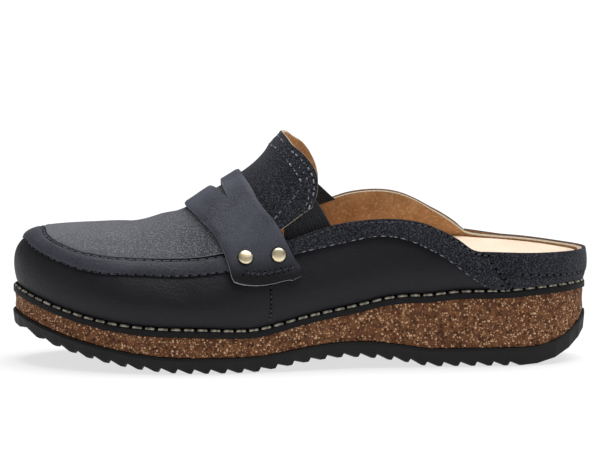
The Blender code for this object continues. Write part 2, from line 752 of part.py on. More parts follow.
def make_cuff(collection, finish):
    """Band round the heel's rim, with slanted ends."""
    shares = [along for along in all_stations() if along < CUFF_FOOT_END - BAND_CLEAR]
    middle = [-turn_at(1, along) for along in reversed(shares[1:])]
    middle += [turn_at(1, along) for along in shares]
    rows = []
    for step in range(len(middle) + 2):
        row = []
        for rise in range(5):
            share = rise / 4
            end = turn_at(1, blend(CUFF_FOOT_END, CUFF_TOP_END, share))
            turn = ([-end] + middle + [end])[step]
            climb = blend(read(CUFF, "climb", along_at(turn)), top_climb(turn) - EDGE_STEP, share)
            row.append((turn, climb, LAY_GAP, LAY_GAP + CUFF_THICK))
        rows.append(row)
    return leather_sheet("heel_cuff", rows, collection, finish)


def main():
    for old in list(bpy.data.objects):
        bpy.data.objects.remove(old, do_unlink=True)
    scene = bpy.context.scene
    clog = bpy.data.collections.new("clog")
    cutters = bpy.data.collections.new("clog_cutters")
    scene.collection.children.link(clog)
    scene.collection.children.link(cutters)

    rubber = material("black_rubber", (0.012, 0.012, 0.013), 0.75)
    cork = material("cork", (0.20, 0.09, 0.035), 0.85)
    rand_leather = material("rand_leather", (0.03, 0.03, 0.04), 0.6)
    bed_leather = material("bed_leather", (0.55, 0.42, 0.30), 0.7)
    smooth_leather = material("smooth_leather", (0.015, 0.018, 0.03), 0.45)
    nubuck = material("nubuck", (0.012, 0.014, 0.024), 0.9)
    elastic = material("elastic", (0.008, 0.008, 0.010), 0.9)
    brass = material("brass", (0.72, 0.55, 0.32), 0.3, 1.0)
    strap_leather = material("strap_leather", (0.035, 0.045, 0.07), 0.5)

    make_outsole(clog, rubber)
    make_midsole(clog, cork)
    make_rand(clog, rand_leather)
    make_insole(clog, bed_leather)
    make_upper(clog, smooth_leather)
    make_apron(clog, nubuck)
    make_roll(clog, nubuck)
    make_strap(clog, cutters, strap_leather)
    make_tongue(clog, nubuck)
    for gore in GORES:
        make_gore(gore, clog, elastic)
    for name, side in (("outer", 1), ("inner", -1)):
        make_collar("collar_" + name, side, clog, nubuck)
        for rivet in RIVETS:
            make_rivet("rivet_" + name + "_" + rivet.name, side, rivet.along, rivet.climb,
                       clog, brass)
    make_cuff(clog, nubuck)


if __name__ == "__main__":
    main()
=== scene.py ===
"""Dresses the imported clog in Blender, as an add-on: finer pieces, seams, stitches and finishes.

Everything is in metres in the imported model's frame: +X to the toe, +Y to the wearer's left, which
is the clog's outer side, +Z up, and the origin on the floor.

The pieces come from the same functions as the solids: sole_edge and level for the sole, and skin
for the upper. A spot on skin has a turn round the clog, a climb and a lift off the upper.
"""
import json
import math
from collections import namedtuple
from functools import lru_cache

import bmesh
import bpy
from bpy.props import FloatProperty, PointerProperty
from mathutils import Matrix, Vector

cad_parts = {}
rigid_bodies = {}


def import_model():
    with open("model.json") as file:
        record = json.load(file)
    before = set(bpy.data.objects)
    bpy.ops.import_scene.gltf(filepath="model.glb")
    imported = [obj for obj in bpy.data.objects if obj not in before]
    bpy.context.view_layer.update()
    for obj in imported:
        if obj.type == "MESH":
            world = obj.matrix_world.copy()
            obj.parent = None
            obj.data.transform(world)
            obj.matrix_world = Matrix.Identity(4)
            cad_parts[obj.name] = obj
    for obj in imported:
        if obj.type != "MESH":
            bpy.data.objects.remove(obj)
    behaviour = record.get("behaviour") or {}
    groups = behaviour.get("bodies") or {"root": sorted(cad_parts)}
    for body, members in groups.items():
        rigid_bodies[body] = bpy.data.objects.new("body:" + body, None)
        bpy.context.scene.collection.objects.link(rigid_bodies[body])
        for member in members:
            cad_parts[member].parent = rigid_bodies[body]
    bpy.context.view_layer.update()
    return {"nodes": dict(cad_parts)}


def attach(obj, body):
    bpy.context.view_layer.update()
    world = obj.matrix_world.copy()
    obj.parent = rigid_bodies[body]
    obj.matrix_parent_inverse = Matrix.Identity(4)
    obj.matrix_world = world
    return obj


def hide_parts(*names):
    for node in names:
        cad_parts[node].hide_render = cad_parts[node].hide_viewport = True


bl_info = {
    "name": "Clog dress",
    "version": (1, 0, 0),
    "blender": (4, 5, 0),
    "location": "View3D > Sidebar > Clog",
    "description": "Builds the clog's leather, cork, rubber and thread over its packed frame",
    "category": "Object",
}

for startup_object in list(bpy.data.objects):
    bpy.data.objects.remove(startup_object)
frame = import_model()

# The plan of the sole
SOLE_LENGTH = 0.2610
HEEL_WIDTH = 0.0630
BALL_OUTER = 0.0475          # from the long axis to the outer side of the ball
BALL_INNER = 0.0475
TIP_SWING = -0.0100          # how far the toe tip lies off the long axis, to the inner side

# The sole's layers, from the floor up
TOE_SPRING = 0.0170
ARCH_RISE = 0.0049
HEEL_CURL = 0.0148
TREAD_FORE = 0.0070
TREAD_HEEL = 0.0083
CORK_FORE = 0.0084
CORK_HEEL = 0.0222
RAND_THICK = 0.0034
RAND_WIDTH = 0.0062
FOOTBED_FORE = 0.0050
FOOTBED_HEEL = 0.0142
FOOTBED_CUP = 0.0030

CORK_INSET = 0.0008
RAND_INSET = 0.0003
BED_CLEAR = 0.0010

# The upper, over the last
UPPER_WALL = 0.0020
UPPER_INSET = 0.0025         # the upper's foot stands this far in from the sole's edge
SIDE_SWELL = 0.0046          # how far the wall swells out above its foot
SWELL_HEIGHT = 0.0360
SWELL_PEAK = 4 / 27          # of up * (1 - up)**2, the swell's shape
TOE_TOP = 0.0609
TONGUE_TOP = 0.1040
HEEL_RIM = 0.0504
OUTER_QUARTER = 0.0661
INNER_QUARTER = 0.0750

# What is laid over the upper
APRON_THICK = 0.0012
ROLL_THICK = 0.0013
BAND_THICK = 0.0010
CUFF_THICK = 0.0011
STRAP_THICK = 0.0016
TONGUE_THICK = 0.0018
GORE_THICK = 0.0012
SLOT_LENGTH = 0.0480          # across the strap, with a bow forward at both its edges
SLOT_FRONT_BOW = 0.0080
SLOT_BACK_BOW = 0.0024
RIVET_WIDTH = 0.0064
RIVET_RISE = 0.0016
GAP = 0.0003
LAY_GAP = 0.0006             # below what lies on the upper, whose facets bow a little
BAND_LIFT = 0.0008           # below the collar bands, which reach round to the heel's curve

# Shares of the sole's length, from the heel's back
HEEL_FAN = 0.171
TOE_FAN = 0.793
THROAT = 0.601
THROAT_FOOT = 0.536
OUTER_TOE_START = 0.675
INNER_TOE_START = 0.734
SPRING_START = 0.695
CURL_START = 0.131

# How square the curves are: 2 is an ellipse
HEEL_SQUARE = 2.2
OUTER_TOE_SQUARE = 1.8
INNER_TOE_SQUARE = 2.3
SIDE_SQUARE = 2.1
FRONT_SQUARE = 4.9
CURL_POWER = 2.6

# Rows of the upper's grid, as shares of its climb, closer together over the swell
UPPER_ROWS = (0.0, 0.015, 0.05, 0.11, 0.17, 0.24, 0.32, 0.42, 0.54, 0.68, 0.84, 1.0)

MERGE = 1e-6                  # points closer than this are one
TURN_STEP = 0.01              # radians either way when a surface's direction is taken

Plan = namedtuple("Plan", "along widening")
OUTER_PLAN = (Plan(0.171, 0.00), Plan(0.299, 0.03), Plan(0.418, 0.15), Plan(0.546, 0.64),
              Plan(0.675, 1.00))
INNER_PLAN = (Plan(0.171, 0.00), Plan(0.299, -0.13), Plan(0.428, -0.23), Plan(0.556, 0.23),
              Plan(0.655, 0.74), Plan(0.734, 1.00))

# The wall swells less round toe and heel
Swell = namedtuple("Swell", "along share")
SWELL = (Swell(0.00, 0.46), Swell(0.10, 0.90), Swell(0.20, 1.00), Swell(0.80, 1.00),
         Swell(0.93, 0.72), Swell(1.00, 0.43))

Spine = namedtuple("Spine", "along swing")
SPINE = (Spine(0.000, 0.00), Spine(0.171, 0.00), Spine(0.448, 0.04), Spine(0.596, 0.02),
         Spine(0.793, -0.08))

Arch = namedtuple("Arch", "along rise")
ARCH = (Arch(0.275, 0.0), Arch(0.333, 0.50), Arch(0.390, 0.90), Arch(0.438, 1.0),
        Arch(0.497, 0.70), Arch(0.556, 0.22), Arch(0.596, 0.0))

# heel is the share of the heel's thickness, and the rest is the forefoot's;
# bed_arch is how far the footbed's inner edge rises over it, as a share of its heel's thickness
Layer = namedtuple("Layer", "along tread_heel cork_heel bed_heel bed_arch")
LAYERS = (Layer(0.000, 1.00, 1.16, 0.86, 0.00), Layer(0.081, 1.00, 1.11, 0.94, 0.09),
          Layer(0.161, 1.00, 1.01, 1.00, 0.25), Layer(0.250, 0.95, 0.98, 1.05, 0.32),
          Layer(0.339, 0.60, 0.71, 0.85, 0.28), Layer(0.423, 0.20, 0.27, 0.60, 0.17),
          Layer(0.507, 0.00, 0.13, 0.35, 0.07), Layer(0.596, 0.00, 0.00, 0.18, 0.00),
          Layer(0.705, 0.00, 0.06, 0.05, 0.00), Layer(0.853, 0.10, -0.05, 0.00, 0.00),
          Layer(1.000, 0.00, -0.06, 0.00, 0.00))

# The crown's height: 0 is the toe's top, 1 the tongue's top
Crown = namedtuple("Crown", "along rise")
CROWN = (Crown(0.000, 0.44), Crown(0.171, 0.69), Crown(0.299, 1.18), Crown(0.398, 1.41),
         Crown(0.464, 1.355), Crown(0.532, 0.942), Crown(0.569, 0.68), Crown(0.602, 0.522),
         Crown(0.654, 0.326), Crown(0.695, 0.165), Crown(0.747, 0.07), Crown(0.793, 0.00))

# The topline: 0 is the heel's rim, 1 the quarter's top
Topline = namedtuple("Topline", "along outer inner")
TOPLINE = (Topline(0.000, 0.00, 0.00), Topline(0.102, 0.01, 0.07), Topline(0.151, 0.03, 0.11),
           Topline(0.198, 0.06, 0.19), Topline(0.215, 0.13, 0.335), Topline(0.238, 0.40, 0.50),
           Topline(0.260, 0.60, 0.634), Topline(0.292, 0.835, 0.825), Topline(0.325, 0.96, 0.955),
           Topline(0.363, 1.00, 1.00), Topline(0.408, 0.96, 0.95), Topline(0.448, 0.86, 0.81),
           Topline(0.492, 0.655, 0.64), Topline(0.536, 0.44, 0.45))

# The moccasin seam and the lower edge of its roll, as climbs in degrees
Seam = namedtuple("Seam", "along apron roll")
SEAM = (Seam(0.596, 31.0, 23.6), Seam(0.655, 33.2, 25.4), Seam(0.705, 37.2, 28.0),
        Seam(0.754, 39.1, 28.9), Seam(0.793, 40.6, 29.3), Seam(0.829, 37.9, 25.4),
        Seam(0.863, 36.2, 22.2), Seam(0.898, 35.2, 20.3), Seam(0.946, 41.5, 22.6),
        Seam(0.973, 50.0, 27.0), Seam(1.000, 59.5, 34.5))
SEAM_GROOVE = 1.2            # degrees of climb left open between the apron and its roll
APRON_END = 0.622

# The strap's front and back edges by climb, from its slanted lower end to the crown
Strap = namedtuple("Strap", "climb front back")
STRAP = (Strap(12.0, 0.527, 0.511), Strap(14.0, 0.558, 0.510), Strap(16.0, 0.590, 0.515),
         Strap(17.6, 0.612, 0.519), Strap(19.5, 0.626, 0.523), Strap(25.0, 0.632, 0.533),
         Strap(30.0, 0.636, 0.541), Strap(36.6, 0.642, 0.552), Strap(42.0, 0.649, 0.562),
         Strap(49.0, 0.659, 0.573), Strap(58.0, 0.671, 0.582), Strap(75.8, 0.688, 0.595),
         Strap(90.0, 0.695, 0.599))
STRAP_FLAT = 15.0            # the strap lies on the wall up to this climb
STRAP_RAISED = 25.0          # and over apron and tongue from this one
SLOT_PLACE = 0.629

Rivet = namedtuple("Rivet", "name along climb")
RIVETS = (Rivet("front", 0.604, 27.0), Rivet("back", 0.547, 21.8))

# The tongue's free edge by climb
Tongue = namedtuple("Tongue", "climb outer inner")
TONGUE = (Tongue(30.5, 0.487, 0.474), Tongue(33.4, 0.479, 0.462), Tongue(38.3, 0.476, 0.464),
          Tongue(42.7, 0.480, 0.470), Tongue(52.0, 0.496, 0.486), Tongue(64.6, 0.515, 0.508),
          Tongue(90.0, 0.527, 0.527))
TONGUE_FRONT = 0.618

# The lower edge of the collar bands and the seam across the heel's cuff, and where the two meet
Band = namedtuple("Band", "along climb")
COLLAR = (Band(0.142, 0.9), Band(0.180, 1.4), Band(0.195, 3.0), Band(0.212, 5.1),
          Band(0.228, 7.3), Band(0.244, 9.6), Band(0.269, 12.6), Band(0.299, 14.9),
          Band(0.337, 16.6), Band(0.378, 17.2), Band(0.438, 16.7), Band(0.477, 17.2),
          Band(0.527, 19.2))
CUFF = (Band(0.000, 4.0), Band(0.071, 4.8), Band(0.136, 6.7), Band(0.171, 7.7), Band(0.220, 9.5))
COLLAR_FOOT_END = 0.150
COLLAR_TOP_END = 0.200
CUFF_SEW_END = 0.163         # where the rows along the cuff stop
EDGE_OVER = 0.3              # degrees that a band reaches over the upper's edge
BAND_CLEAR = 0.002           # share of the length left open between a band and its neighbour

# The elastic gore between tongue and quarter
Gore = namedtuple("Gore", "name side front foot head")
GORES = (Gore("outer", 1, 0.534, 0.449, 0.481), Gore("inner", -1, 0.534, 0.431, 0.462))
GORE_STEP = 0.5              # degrees over the quarter's edge where it starts to lean out
GORE_TUCK = 2.5              # degrees of climb that it reaches under the tongue
GORE_FOOT_TUCK = 0.2         # and below the quarter's edge, inside it

# Material numbers of a sheet's faces
OUTER = 0
INNER = 1
RIM = 2

# The trimmed cork and the rand
TRIM_ROUND = 0.0006          # the cork's edges, rounded over a twelfth of its height
TRIM_PARTS = 12.0
CORK_HOLLOW = 0.0006
# The rand's section, as shares of its width inward and of its height
RAND_OUTLINE = ((0.0, 0.0), (0.0, 0.70), (0.03, 0.90), (0.10, 1.0), (0.17, 0.93), (0.30, 0.93),
                (0.36, 1.0), (1.0, 1.0), (1.0, 0.0), (0.0, 0.0))

# The side seam, where the vamp laps the quarter
SIDE_SEAM = 0.562            # share of the length
SIDE_SEAM_TOP = 16.0         # degrees of climb
SEAM_WIDTH = 0.0007
SEAM_DEPTH = 0.0010
SEAM_STEP = 0.0008
SEAM_STEEP = 3.0             # how sharply the step rises, and over how many widths it fades
SEAM_FADE = 2.0
SEAM_REACH = 4.0             # in widths

# The worn leather
THROAT_CLEAR = 0.004         # share of the length kept clear of the throat's own stations
CLIMB_LENGTH = 0.0008        # metres that one degree of climb is worth when folds are placed
RIM_FADE = 12.0              # folds fade over a twelfth of the climb below the upper's edge,
FOOT_FADE = 10.0             # a tenth of it above the foot,
APRON_FADE = 8.0             # and an eighth of the apron's width from its seam
FOLD_REACH = 3.0             # in widths of a fold
FOLD_RIDGE = 0.6             # how strongly a trough raises the leather beside it
CROWN_FILL = 0.0005
CROWN_REACH = 0.015
CROWN_HOLLOW = 1.8           # reaches ahead of the full spot, where the apron lies lower
TOE_FULLNESS = 0.35          # how much squarer the leather is where the toe's curve begins
FULL_REACH = 0.045           # share of the length

# Edges, grooves and steps of what lies on the upper
APRON_THIN = 0.25            # share of its thickness that a cut edge loses
STRAP_THIN = 0.35
THIN_REACH = 0.03            # share of the piece's width over which it does
TUCK = 0.0004                # how far a thin edge sinks under the leather beside it
TONGUE_GROOVE = 0.00035      # pressed in by the first row of stitches
TONGUE_GROOVE_WIDTH = 0.0007
PANEL_STEP = 0.00045         # down from the tongue's sewn panel
PANEL_STEP_WIDTH = 0.0004
GORE_RIBS = 15
GORE_RELIEF = 0.0005
COLLAR_SWELL = (0.80, 0.35)  # shares of a band's thickness at its edges, and more in its middle
CUFF_SWELL = (0.70, 0.95)    # below and above the cuff's seam
CUFF_GROOVE = 0.6            # share of the cuff's thickness
CUFF_GROOVE_CLIMB = 0.45
CUFF_CLEAR = 0.001           # share of the length left open between the cuff and the collars
CUFF_FOOT_CLIMB = 0.9        # where the cuff's lower piece ends over the rand

# What the finishes take from the real materials, and where they paint light and shade
GRAIN = 0.0008               # across a cell of the leather's grain
TOE_LIGHT_START = 0.010           # painted light: the apron is painted paler from here forward
TOE_LIGHT_END = 0.100
SHADE_FULL_HEIGHT = 0.043           # painted shade: the strap is darkened fully below this height and not at all above the next
SHADE_END_HEIGHT = 0.059
CORK_GRANULE = 0.0017
CORK_CRUMB = 0.0010
PLY_LENGTH = 0.0016          # along a thread, from one ply to the next
WAVE_TURN = 0.314            # a wave texture's period at scale 1

# Rows of the apron's grid, closer together at its edge, and of its band's
APRON_ROWS = (0.0, 0.008, 0.02, 0.04, 0.07, 0.11, 0.16, 0.22, 0.29, 0.37, 0.46, 0.56, 0.67,
              0.78, 0.89, 1.0)
ROLL_STEPS = (0.0, 0.02, 0.05, 0.09, 0.15, 0.24, 0.36, 0.50, 0.64, 0.76, 0.86, 0.94, 1.0)

# Folds between two spots: side 0 is both sides
Fold = namedtuple("Fold", "side along_1 climb_1 along_2 climb_2 width lift")
FOLDS = (Fold(0, 0.716, 46.0, 0.710, 90.0, 0.0050, -0.0003),
         Fold(0, 0.736, 50.0, 0.734, 90.0, 0.0060, 0.0002),
         Fold(0, 0.760, 55.0, 0.756, 90.0, 0.0050, -0.0003),
         Fold(1, 0.685, 12.0, 0.729, 24.0, 0.0050, -0.0004),
         Fold(1, 0.709, 7.0, 0.759, 20.0, 0.0060, 0.0003),
         Fold(1, 0.596, 5.0, 0.655, 13.0, 0.0060, -0.0004),
         Fold(1, 0.517, 6.0, 0.428, 12.0, 0.0060, -0.0004),
         Fold(1, 0.497, 11.0, 0.398, 13.0, 0.0070, 0.0004),
         Fold(-1, 0.685, 10.0, 0.734, 22.0, 0.0050, -0.0004),
         Fold(-1, 0.714, 8.0, 0.764, 19.0, 0.0060, 0.0003),
         Fold(-1, 0.527, 6.0, 0.418, 14.0, 0.0060, -0.0004))

# Section of the apron's band, from its lower edge up
Roll = namedtuple("Roll", "share rise")
ROLL_CURVE = (Roll(0.0, -0.20), Roll(0.04, 0.10), Roll(0.10, 0.50), Roll(0.24, 0.84),
              Roll(0.50, 1.0), Roll(0.78, 0.92), Roll(0.90, 0.58), Roll(1.0, 0.50))

# A rivet head's section, as shares of its half width and of its rise
RIVET_PROFILE = ((1.0, 0.0), (1.0, 0.30), (0.97, 0.48), (0.90, 0.64), (0.78, 0.78),
                 (0.60, 0.89), (0.38, 0.96), (0.18, 0.99), (0.0, 1.0))

# The front edge of the tongue's sewn panel
Panel = namedtuple("Panel", "climb along")
TONGUE_PANEL = (Panel(36.5, 0.556), Panel(38.3, 0.527), Panel(41.2, 0.508), Panel(45.5, 0.513),
                Panel(52.9, 0.523), Panel(64.5, 0.537), Panel(90.0, 0.552))

# The strap's lower row of stitches, from front to back
Sew = namedtuple("Sew", "share along climb")
STRAP_SEW = (Sew(0.0, 0.614, 21.0), Sew(0.25, 0.588, 19.0), Sew(0.5, 0.562, 17.2),
             Sew(0.75, 0.539, 15.7), Sew(1.0, 0.521, 14.8))

# Roundings of the pieces' edges
BED_ROUND = 0.0008
SHELL_ROUND = 0.0005
APRON_ROUND = 0.0003
STRAP_ROUND = 0.0004
TONGUE_ROUND = 0.0006
BAND_ROUND = 0.00025

# Thread, stitches and needle holes
SOLE_THREAD = 0.0013
SOLE_STITCH_INSET = 0.0011
SOLE_STITCH_RISE = 0.0001
SOLE_STITCH_SHARE = 0.80     # of the pitch that a stitch covers
SEAM_THREAD = 0.0006
SEAM_STITCH_SHARE = 0.72
HOLE_PROUD = 0.00006
DARK_HOLES = 1.9             # width of a needle hole's painted shade, in threads
GREY_HOLES = 1.0
ZIGZAG_HOLES = 1.5
ZIGZAG_CUT = 0.12            # share left free at both ends of a zigzag's stitch
# width of the disc of painted shade under each rivet
RIVET_SHADE_WIDTH = 1.16 * RIVET_WIDTH
TONGUE_SEW = 0.0018          # from the tongue's edge to its first row of stitches
TONGUE_SEW_APART = 0.0022
TONGUE_SEW_SINK = 0.0002
PANEL_SEW = 0.0012           # from the panel's edge back to its row
PANEL_SEW_CLIMB = 36.0       # the row along the panel starts above this climb
EDGE_SEW = 0.0016            # from an upper edge down to its row
END_SEW_CLIMB = 1.5          # and from there at a band's slanted end, in degrees
COLLAR_END_SEW = 0.006       # shares of the length from a slanted end to its row
COLLAR_END_SPOTS = 13
CUFF_END_SEW = 0.005
CUFF_END_SPOTS = 11
CUFF_FOOT_SEW = 0.6          # degrees over the cuff's foot
COLLAR_LOW_RISE = 0.50       # shares of the band's thickness at which its rows lie
COLLAR_HIGH_RISE = 0.92
COLLAR_END_RISE = 0.95
CUFF_SEW_RISE = 0.75
SIDE_SEW_SINK = 0.4          # share of the side seam's depth
ROWS_APART = 1.5             # degrees between a collar's rows where the upper one stops
COLLAR_SEW_START = 0.186     # where the quarter's lower row of stitches leaves the rand
COLLAR_SEW_END = 0.525
COLLAR_LOW_OFF = 0.0001      # up the leather from a lower edge or seam to its row
CUFF_LOW_OFF = 0.0002
STRAP_SEW_RISE = 0.0016      # from the strap's lower row up to its upper one
STRAP_SEW_SPOTS = 18
STRAP_SEW_SIDES = 0.08       # share of the strap's width left free at both sides

Stitch = namedtuple("Stitch", "pitch length")
COLLAR_LOW = Stitch(0.0047, 0.0047 * SEAM_STITCH_SHARE)
COLLAR_HIGH = Stitch(0.0030, 0.0020)
BAND_END = Stitch(0.0032, 0.0021)
TONGUE_ROW = Stitch(0.0030, 0.0021)
SIDE_ROW = Stitch(0.0021, 0.0015)

# The apron's rows: the edge each follows, how far up from it, and its rise in band thicknesses
Follow = namedtuple("Follow", "column off rise")
APRON_SEW = (Follow("apron", -0.0008, 0.62), Follow("roll", 0.0002, 0.10))

# A stitch along its length: share of its width, and rise in widths
Ring = namedtuple("Ring", "share width rise")
STITCH_SHAPE = (Ring(0.0, 0.75, -0.35), Ring(0.05, 0.95, 0.0), Ring(0.16, 1.0, 0.14),
                Ring(0.50, 1.0, 0.20), Ring(0.84, 1.0, 0.14), Ring(0.95, 0.95, 0.0),
                Ring(1.0, 0.75, -0.35))
STITCH_FLAT = 0.5            # share of its width that a stitch is thick

SIDES = (("outer", 1), ("inner", -1))

# Finishes: a pattern is noise whose largest lumps are size metres across, a coat lays its colour
# where a pattern's value runs from low to high, up to a share of the whole, and a dial turns that
# run into a number
Pattern = namedtuple("Pattern", "size detail roughness distortion", defaults=(0.0,))
Coat = namedtuple("Coat", "pattern low high share colour")
Dial = namedtuple("Dial", "pattern low high at_low at_high")

# The stage
FLOOR_REACH = 40.0
# the floor's own glow, painted light that lifts its shadows
FLOOR_GLOW = 0.70
WORLD_LIGHT = 0.20
Sun = namedtuple("Sun", "name strength angles spread")
SUNS = (Sun("overhead_softbox", 3.3, (8.0, -12.0, 0.0), 60.0),
        Sun("front_fill", 0.10, (-65.0, 0.0, 0.0), 60.0))
CAMERA_AZIMUTH = 176.0
CAMERA_HEIGHT = 8.2
CAMERA_DISTANCE = 1.4
CAMERA_AIM = (0.0001, 0.0, 0.0613)
FOCAL_PIXELS = 3066.0
PHOTO_WIDTH = 600.0


def read(rows, column, along):
    """Smooth value of a table's column at a share of the length."""
    spots = [row[0] for row in rows]
    values = [getattr(row, column) for row in rows]
    last = len(rows) - 1
    if along <= spots[0]:
        return values[0]
    if along >= spots[last]:
        return values[last]
    slopes = [0.0] * len(rows)
    for index in range(1, last):
        slopes[index] = ((values[index + 1] - values[index - 1])
                         / (spots[index + 1] - spots[index - 1]))
    index = max(i for i in range(last) if spots[i] <= along)
    step = spots[index + 1] - spots[index]
    t = (along - spots[index]) / step
    return (values[index] * (2 * t**3 - 3 * t**2 + 1)
            + values[index + 1] * (3 * t**2 - 2 * t**3)
            + slopes[index] * step * (t**3 - 2 * t**2 + t)
            + slopes[index + 1] * step * (t**3 - t**2))


def squared(share, square):
    """Quarter of a squared circle: 0 at share 0 and 1 at share 1."""
    inside = max(0.0, 1.0 - max(0.0, 1.0 - share)**square)
    return math.sqrt(inside)


def edge_width(side, along):
    """Distance from the long axis to the sole's edge, signed like side."""
    half_heel = HEEL_WIDTH / 2
    ball = BALL_OUTER if side > 0 else BALL_INNER
    toe_start = OUTER_TOE_START if side > 0 else INNER_TOE_START
    toe_square = OUTER_TOE_SQUARE if side > 0 else INNER_TOE_SQUARE
    if along < HEEL_FAN:
        return side * half_heel * squared(along / HEEL_FAN, HEEL_SQUARE)
    if along > toe_start:
        left = (1.0 - along) / (1.0 - toe_start)
        return TIP_SWING + (side * ball - TIP_SWING) * squared(left, toe_square)
    plan = OUTER_PLAN if side > 0 else INNER_PLAN
    return side * (half_heel + (ball - half_heel) * read(plan, "widening", along))


def along_at(turn):
    """Share of the length at a turn: 0 is the heel's back, pi the toe tip, and below pi is outer."""
    return (1.0 - math.cos(turn)) / 2


def turn_at(side, along):
    turn = math.acos(1.0 - 2.0 * min(max(along, 0.0), 1.0))
    return turn if side > 0 else 2 * math.pi - turn


def bare_edge(turn):
    side = 1 if math.sin(turn) >= 0 else -1
    along = along_at(turn)
    return Vector((SOLE_LENGTH * (along - 0.5), edge_width(side, along), 0.0))


@lru_cache(maxsize=None)
def edge_normal(turn):
    """Level direction out of the sole's edge."""
    tangent = bare_edge(turn + TURN_STEP / 2) - bare_edge(turn - TURN_STEP / 2)
    return Vector((-tangent.y, tangent.x, 0.0)).normalized()


def sole_edge(turn, inset):
    return bare_edge(turn) - edge_normal(turn) * inset


def base_level(along):
    """Height over the floor that toe spring and arch give every layer."""
    spring = max(0.0, (along - SPRING_START) / (1.0 - SPRING_START))**2
    return TOE_SPRING * spring + ARCH_RISE * read(ARCH, "rise", along)


def heel_curl(along):
    """Rise of the outsole round the back of the heel, into the cork."""
    return HEEL_CURL * max(0.0, (CURL_START - along) / CURL_START)**CURL_POWER


def blend(low, high, share):
    return low + (high - low) * share


def bow(share):
    """Parabola that is 0 at shares 0 and 1, and 1 halfway."""
    return 4 * share * (1 - share)


def level(layer, along):
    """Height of the top of a layer: tread, cork, rand or bed."""
    height = base_level(along) + blend(TREAD_FORE, TREAD_HEEL, read(LAYERS, "tread_heel", along))
    if layer == "tread":
        return height + heel_curl(along)
    height += blend(CORK_FORE, CORK_HEEL, read(LAYERS, "cork_heel", along))
    if layer == "cork":
        return height
    height += RAND_THICK
    if layer == "rand":
        return height
    return height + blend(FOOTBED_FORE, FOOTBED_HEEL, read(LAYERS, "bed_heel", along))


def share_of(point):
    return 0.5 + point.x / SOLE_LENGTH


def on_layer(turn, inset, layer, raised=0.0):
    """Point above the sole's edge, set in from it, at the height of a layer's top."""
    point = sole_edge(turn, inset)
    point.z = level(layer, share_of(point)) + raised
    return point


def crown_level(along):
    return blend(TOE_TOP, TONGUE_TOP, read(CROWN, "rise", along))


def spine_point(along):
    """Point below the crown that a section of the upper is drawn around."""
    held = min(max(along, HEEL_FAN), TOE_FAN)
    swing = BALL_OUTER * read(SPINE, "swing", held)
    return Vector((SOLE_LENGTH * (held - 0.5), swing, 0.0)), held


@lru_cache(maxsize=None)
def section(turn):
    """Foot point, spine point, foot height, crown height and squareness at a turn."""
    along = along_at(turn)
    foot = sole_edge(turn, UPPER_INSET)
    spine, held = spine_point(along)
    ahead = 0.0
    if along > TOE_FAN:
        ahead = (foot.x - spine.x) / (foot - spine).length
    square = blend(SIDE_SQUARE, FRONT_SQUARE, max(0.0, ahead))
    return foot, spine, level("rand", share_of(foot)) + GAP, crown_level(held), square


def bare_skin(turn, climb):
    foot, spine, low, high, square = section(turn)
    square += TOE_FULLNESS * math.exp(-((along_at(turn) - TOE_FAN) / FULL_REACH)**2)
    angle = math.radians(min(max(climb, 0.0), 90.0))
    rise = (high - low) * max(0.0, math.sin(angle))**(2 / square)
    reach = max(0.0, math.cos(angle))**(2 / square)
    up = min(1.0, rise / SWELL_HEIGHT)
    swell = SIDE_SWELL * read(SWELL, "share", along_at(turn)) * up * (1.0 - up)**2 / SWELL_PEAK
    point = spine + (foot - spine) * reach + edge_normal(turn) * swell
    point.z = low + rise
    return point


def skin_normal(turn, climb):
    if climb > 89.0:
        held = spine_point(along_at(turn))[1]
        slope = crown_level(held + TURN_STEP / 2) - crown_level(held - TURN_STEP / 2)
        return Vector((-slope, 0.0, TURN_STEP * SOLE_LENGTH)).normalized()
    around = bare_skin(turn - TURN_STEP, climb) - bare_skin(turn + TURN_STEP, climb)
    upward = bare_skin(turn, climb + 1.0) - bare_skin(turn, max(climb - 1.0, 0.0))
    return around.cross(upward).normalized()


def skin(turn, climb, lift):
    """Point at a turn and a climb, lifted off the upper's outside."""
    return bare_skin(turn, climb) + skin_normal(turn, climb) * lift


def climb_at(turn, height):
    """Climb at which the upper reaches a height over the floor."""
    low, high, square = section(turn)[2:]
    share = min(max((height - low) / (high - low), 0.0), 1.0)
    return math.degrees(math.asin(share**(square / 2)))


@lru_cache(maxsize=None)
def top_climb(turn):
    """Climb of the upper's upper edge: the topline, the throat's edge, or the crown."""
    side = 1 if math.sin(turn) >= 0 else -1
    along = along_at(turn)
    top = OUTER_QUARTER if side > 0 else INNER_QUARTER
    share = read(TOPLINE, "outer" if side > 0 else "inner", along)
    quarter = climb_at(turn, blend(HEEL_RIM, top, share))
    if along <= THROAT_FOOT:
        return quarter
    if along >= THROAT:
        return 90.0
    forward = (along - THROAT_FOOT) / (THROAT - THROAT_FOOT)
    return 90.0 - (90.0 - quarter) * math.sqrt(1.0 - forward**2)


def even(steps):
    """Even shares from 0 to 1."""
    return [index / steps for index in range(steps + 1)]


def stations(heel_steps, side_steps, toe_steps):
    """Shares of the length from heel to toe, closer together round the ends."""
    heel = [HEEL_FAN * (1 - math.cos(math.pi / 2 * i / heel_steps)) for i in range(heel_steps)]
    sides = [blend(HEEL_FAN, TOE_FAN, i / side_steps) for i in range(side_steps)]
    toe = [TOE_FAN + (1 - TOE_FAN) * math.sin(math.pi / 2 * i / toe_steps)
           for i in range(toe_steps + 1)]
    return heel + sides + toe


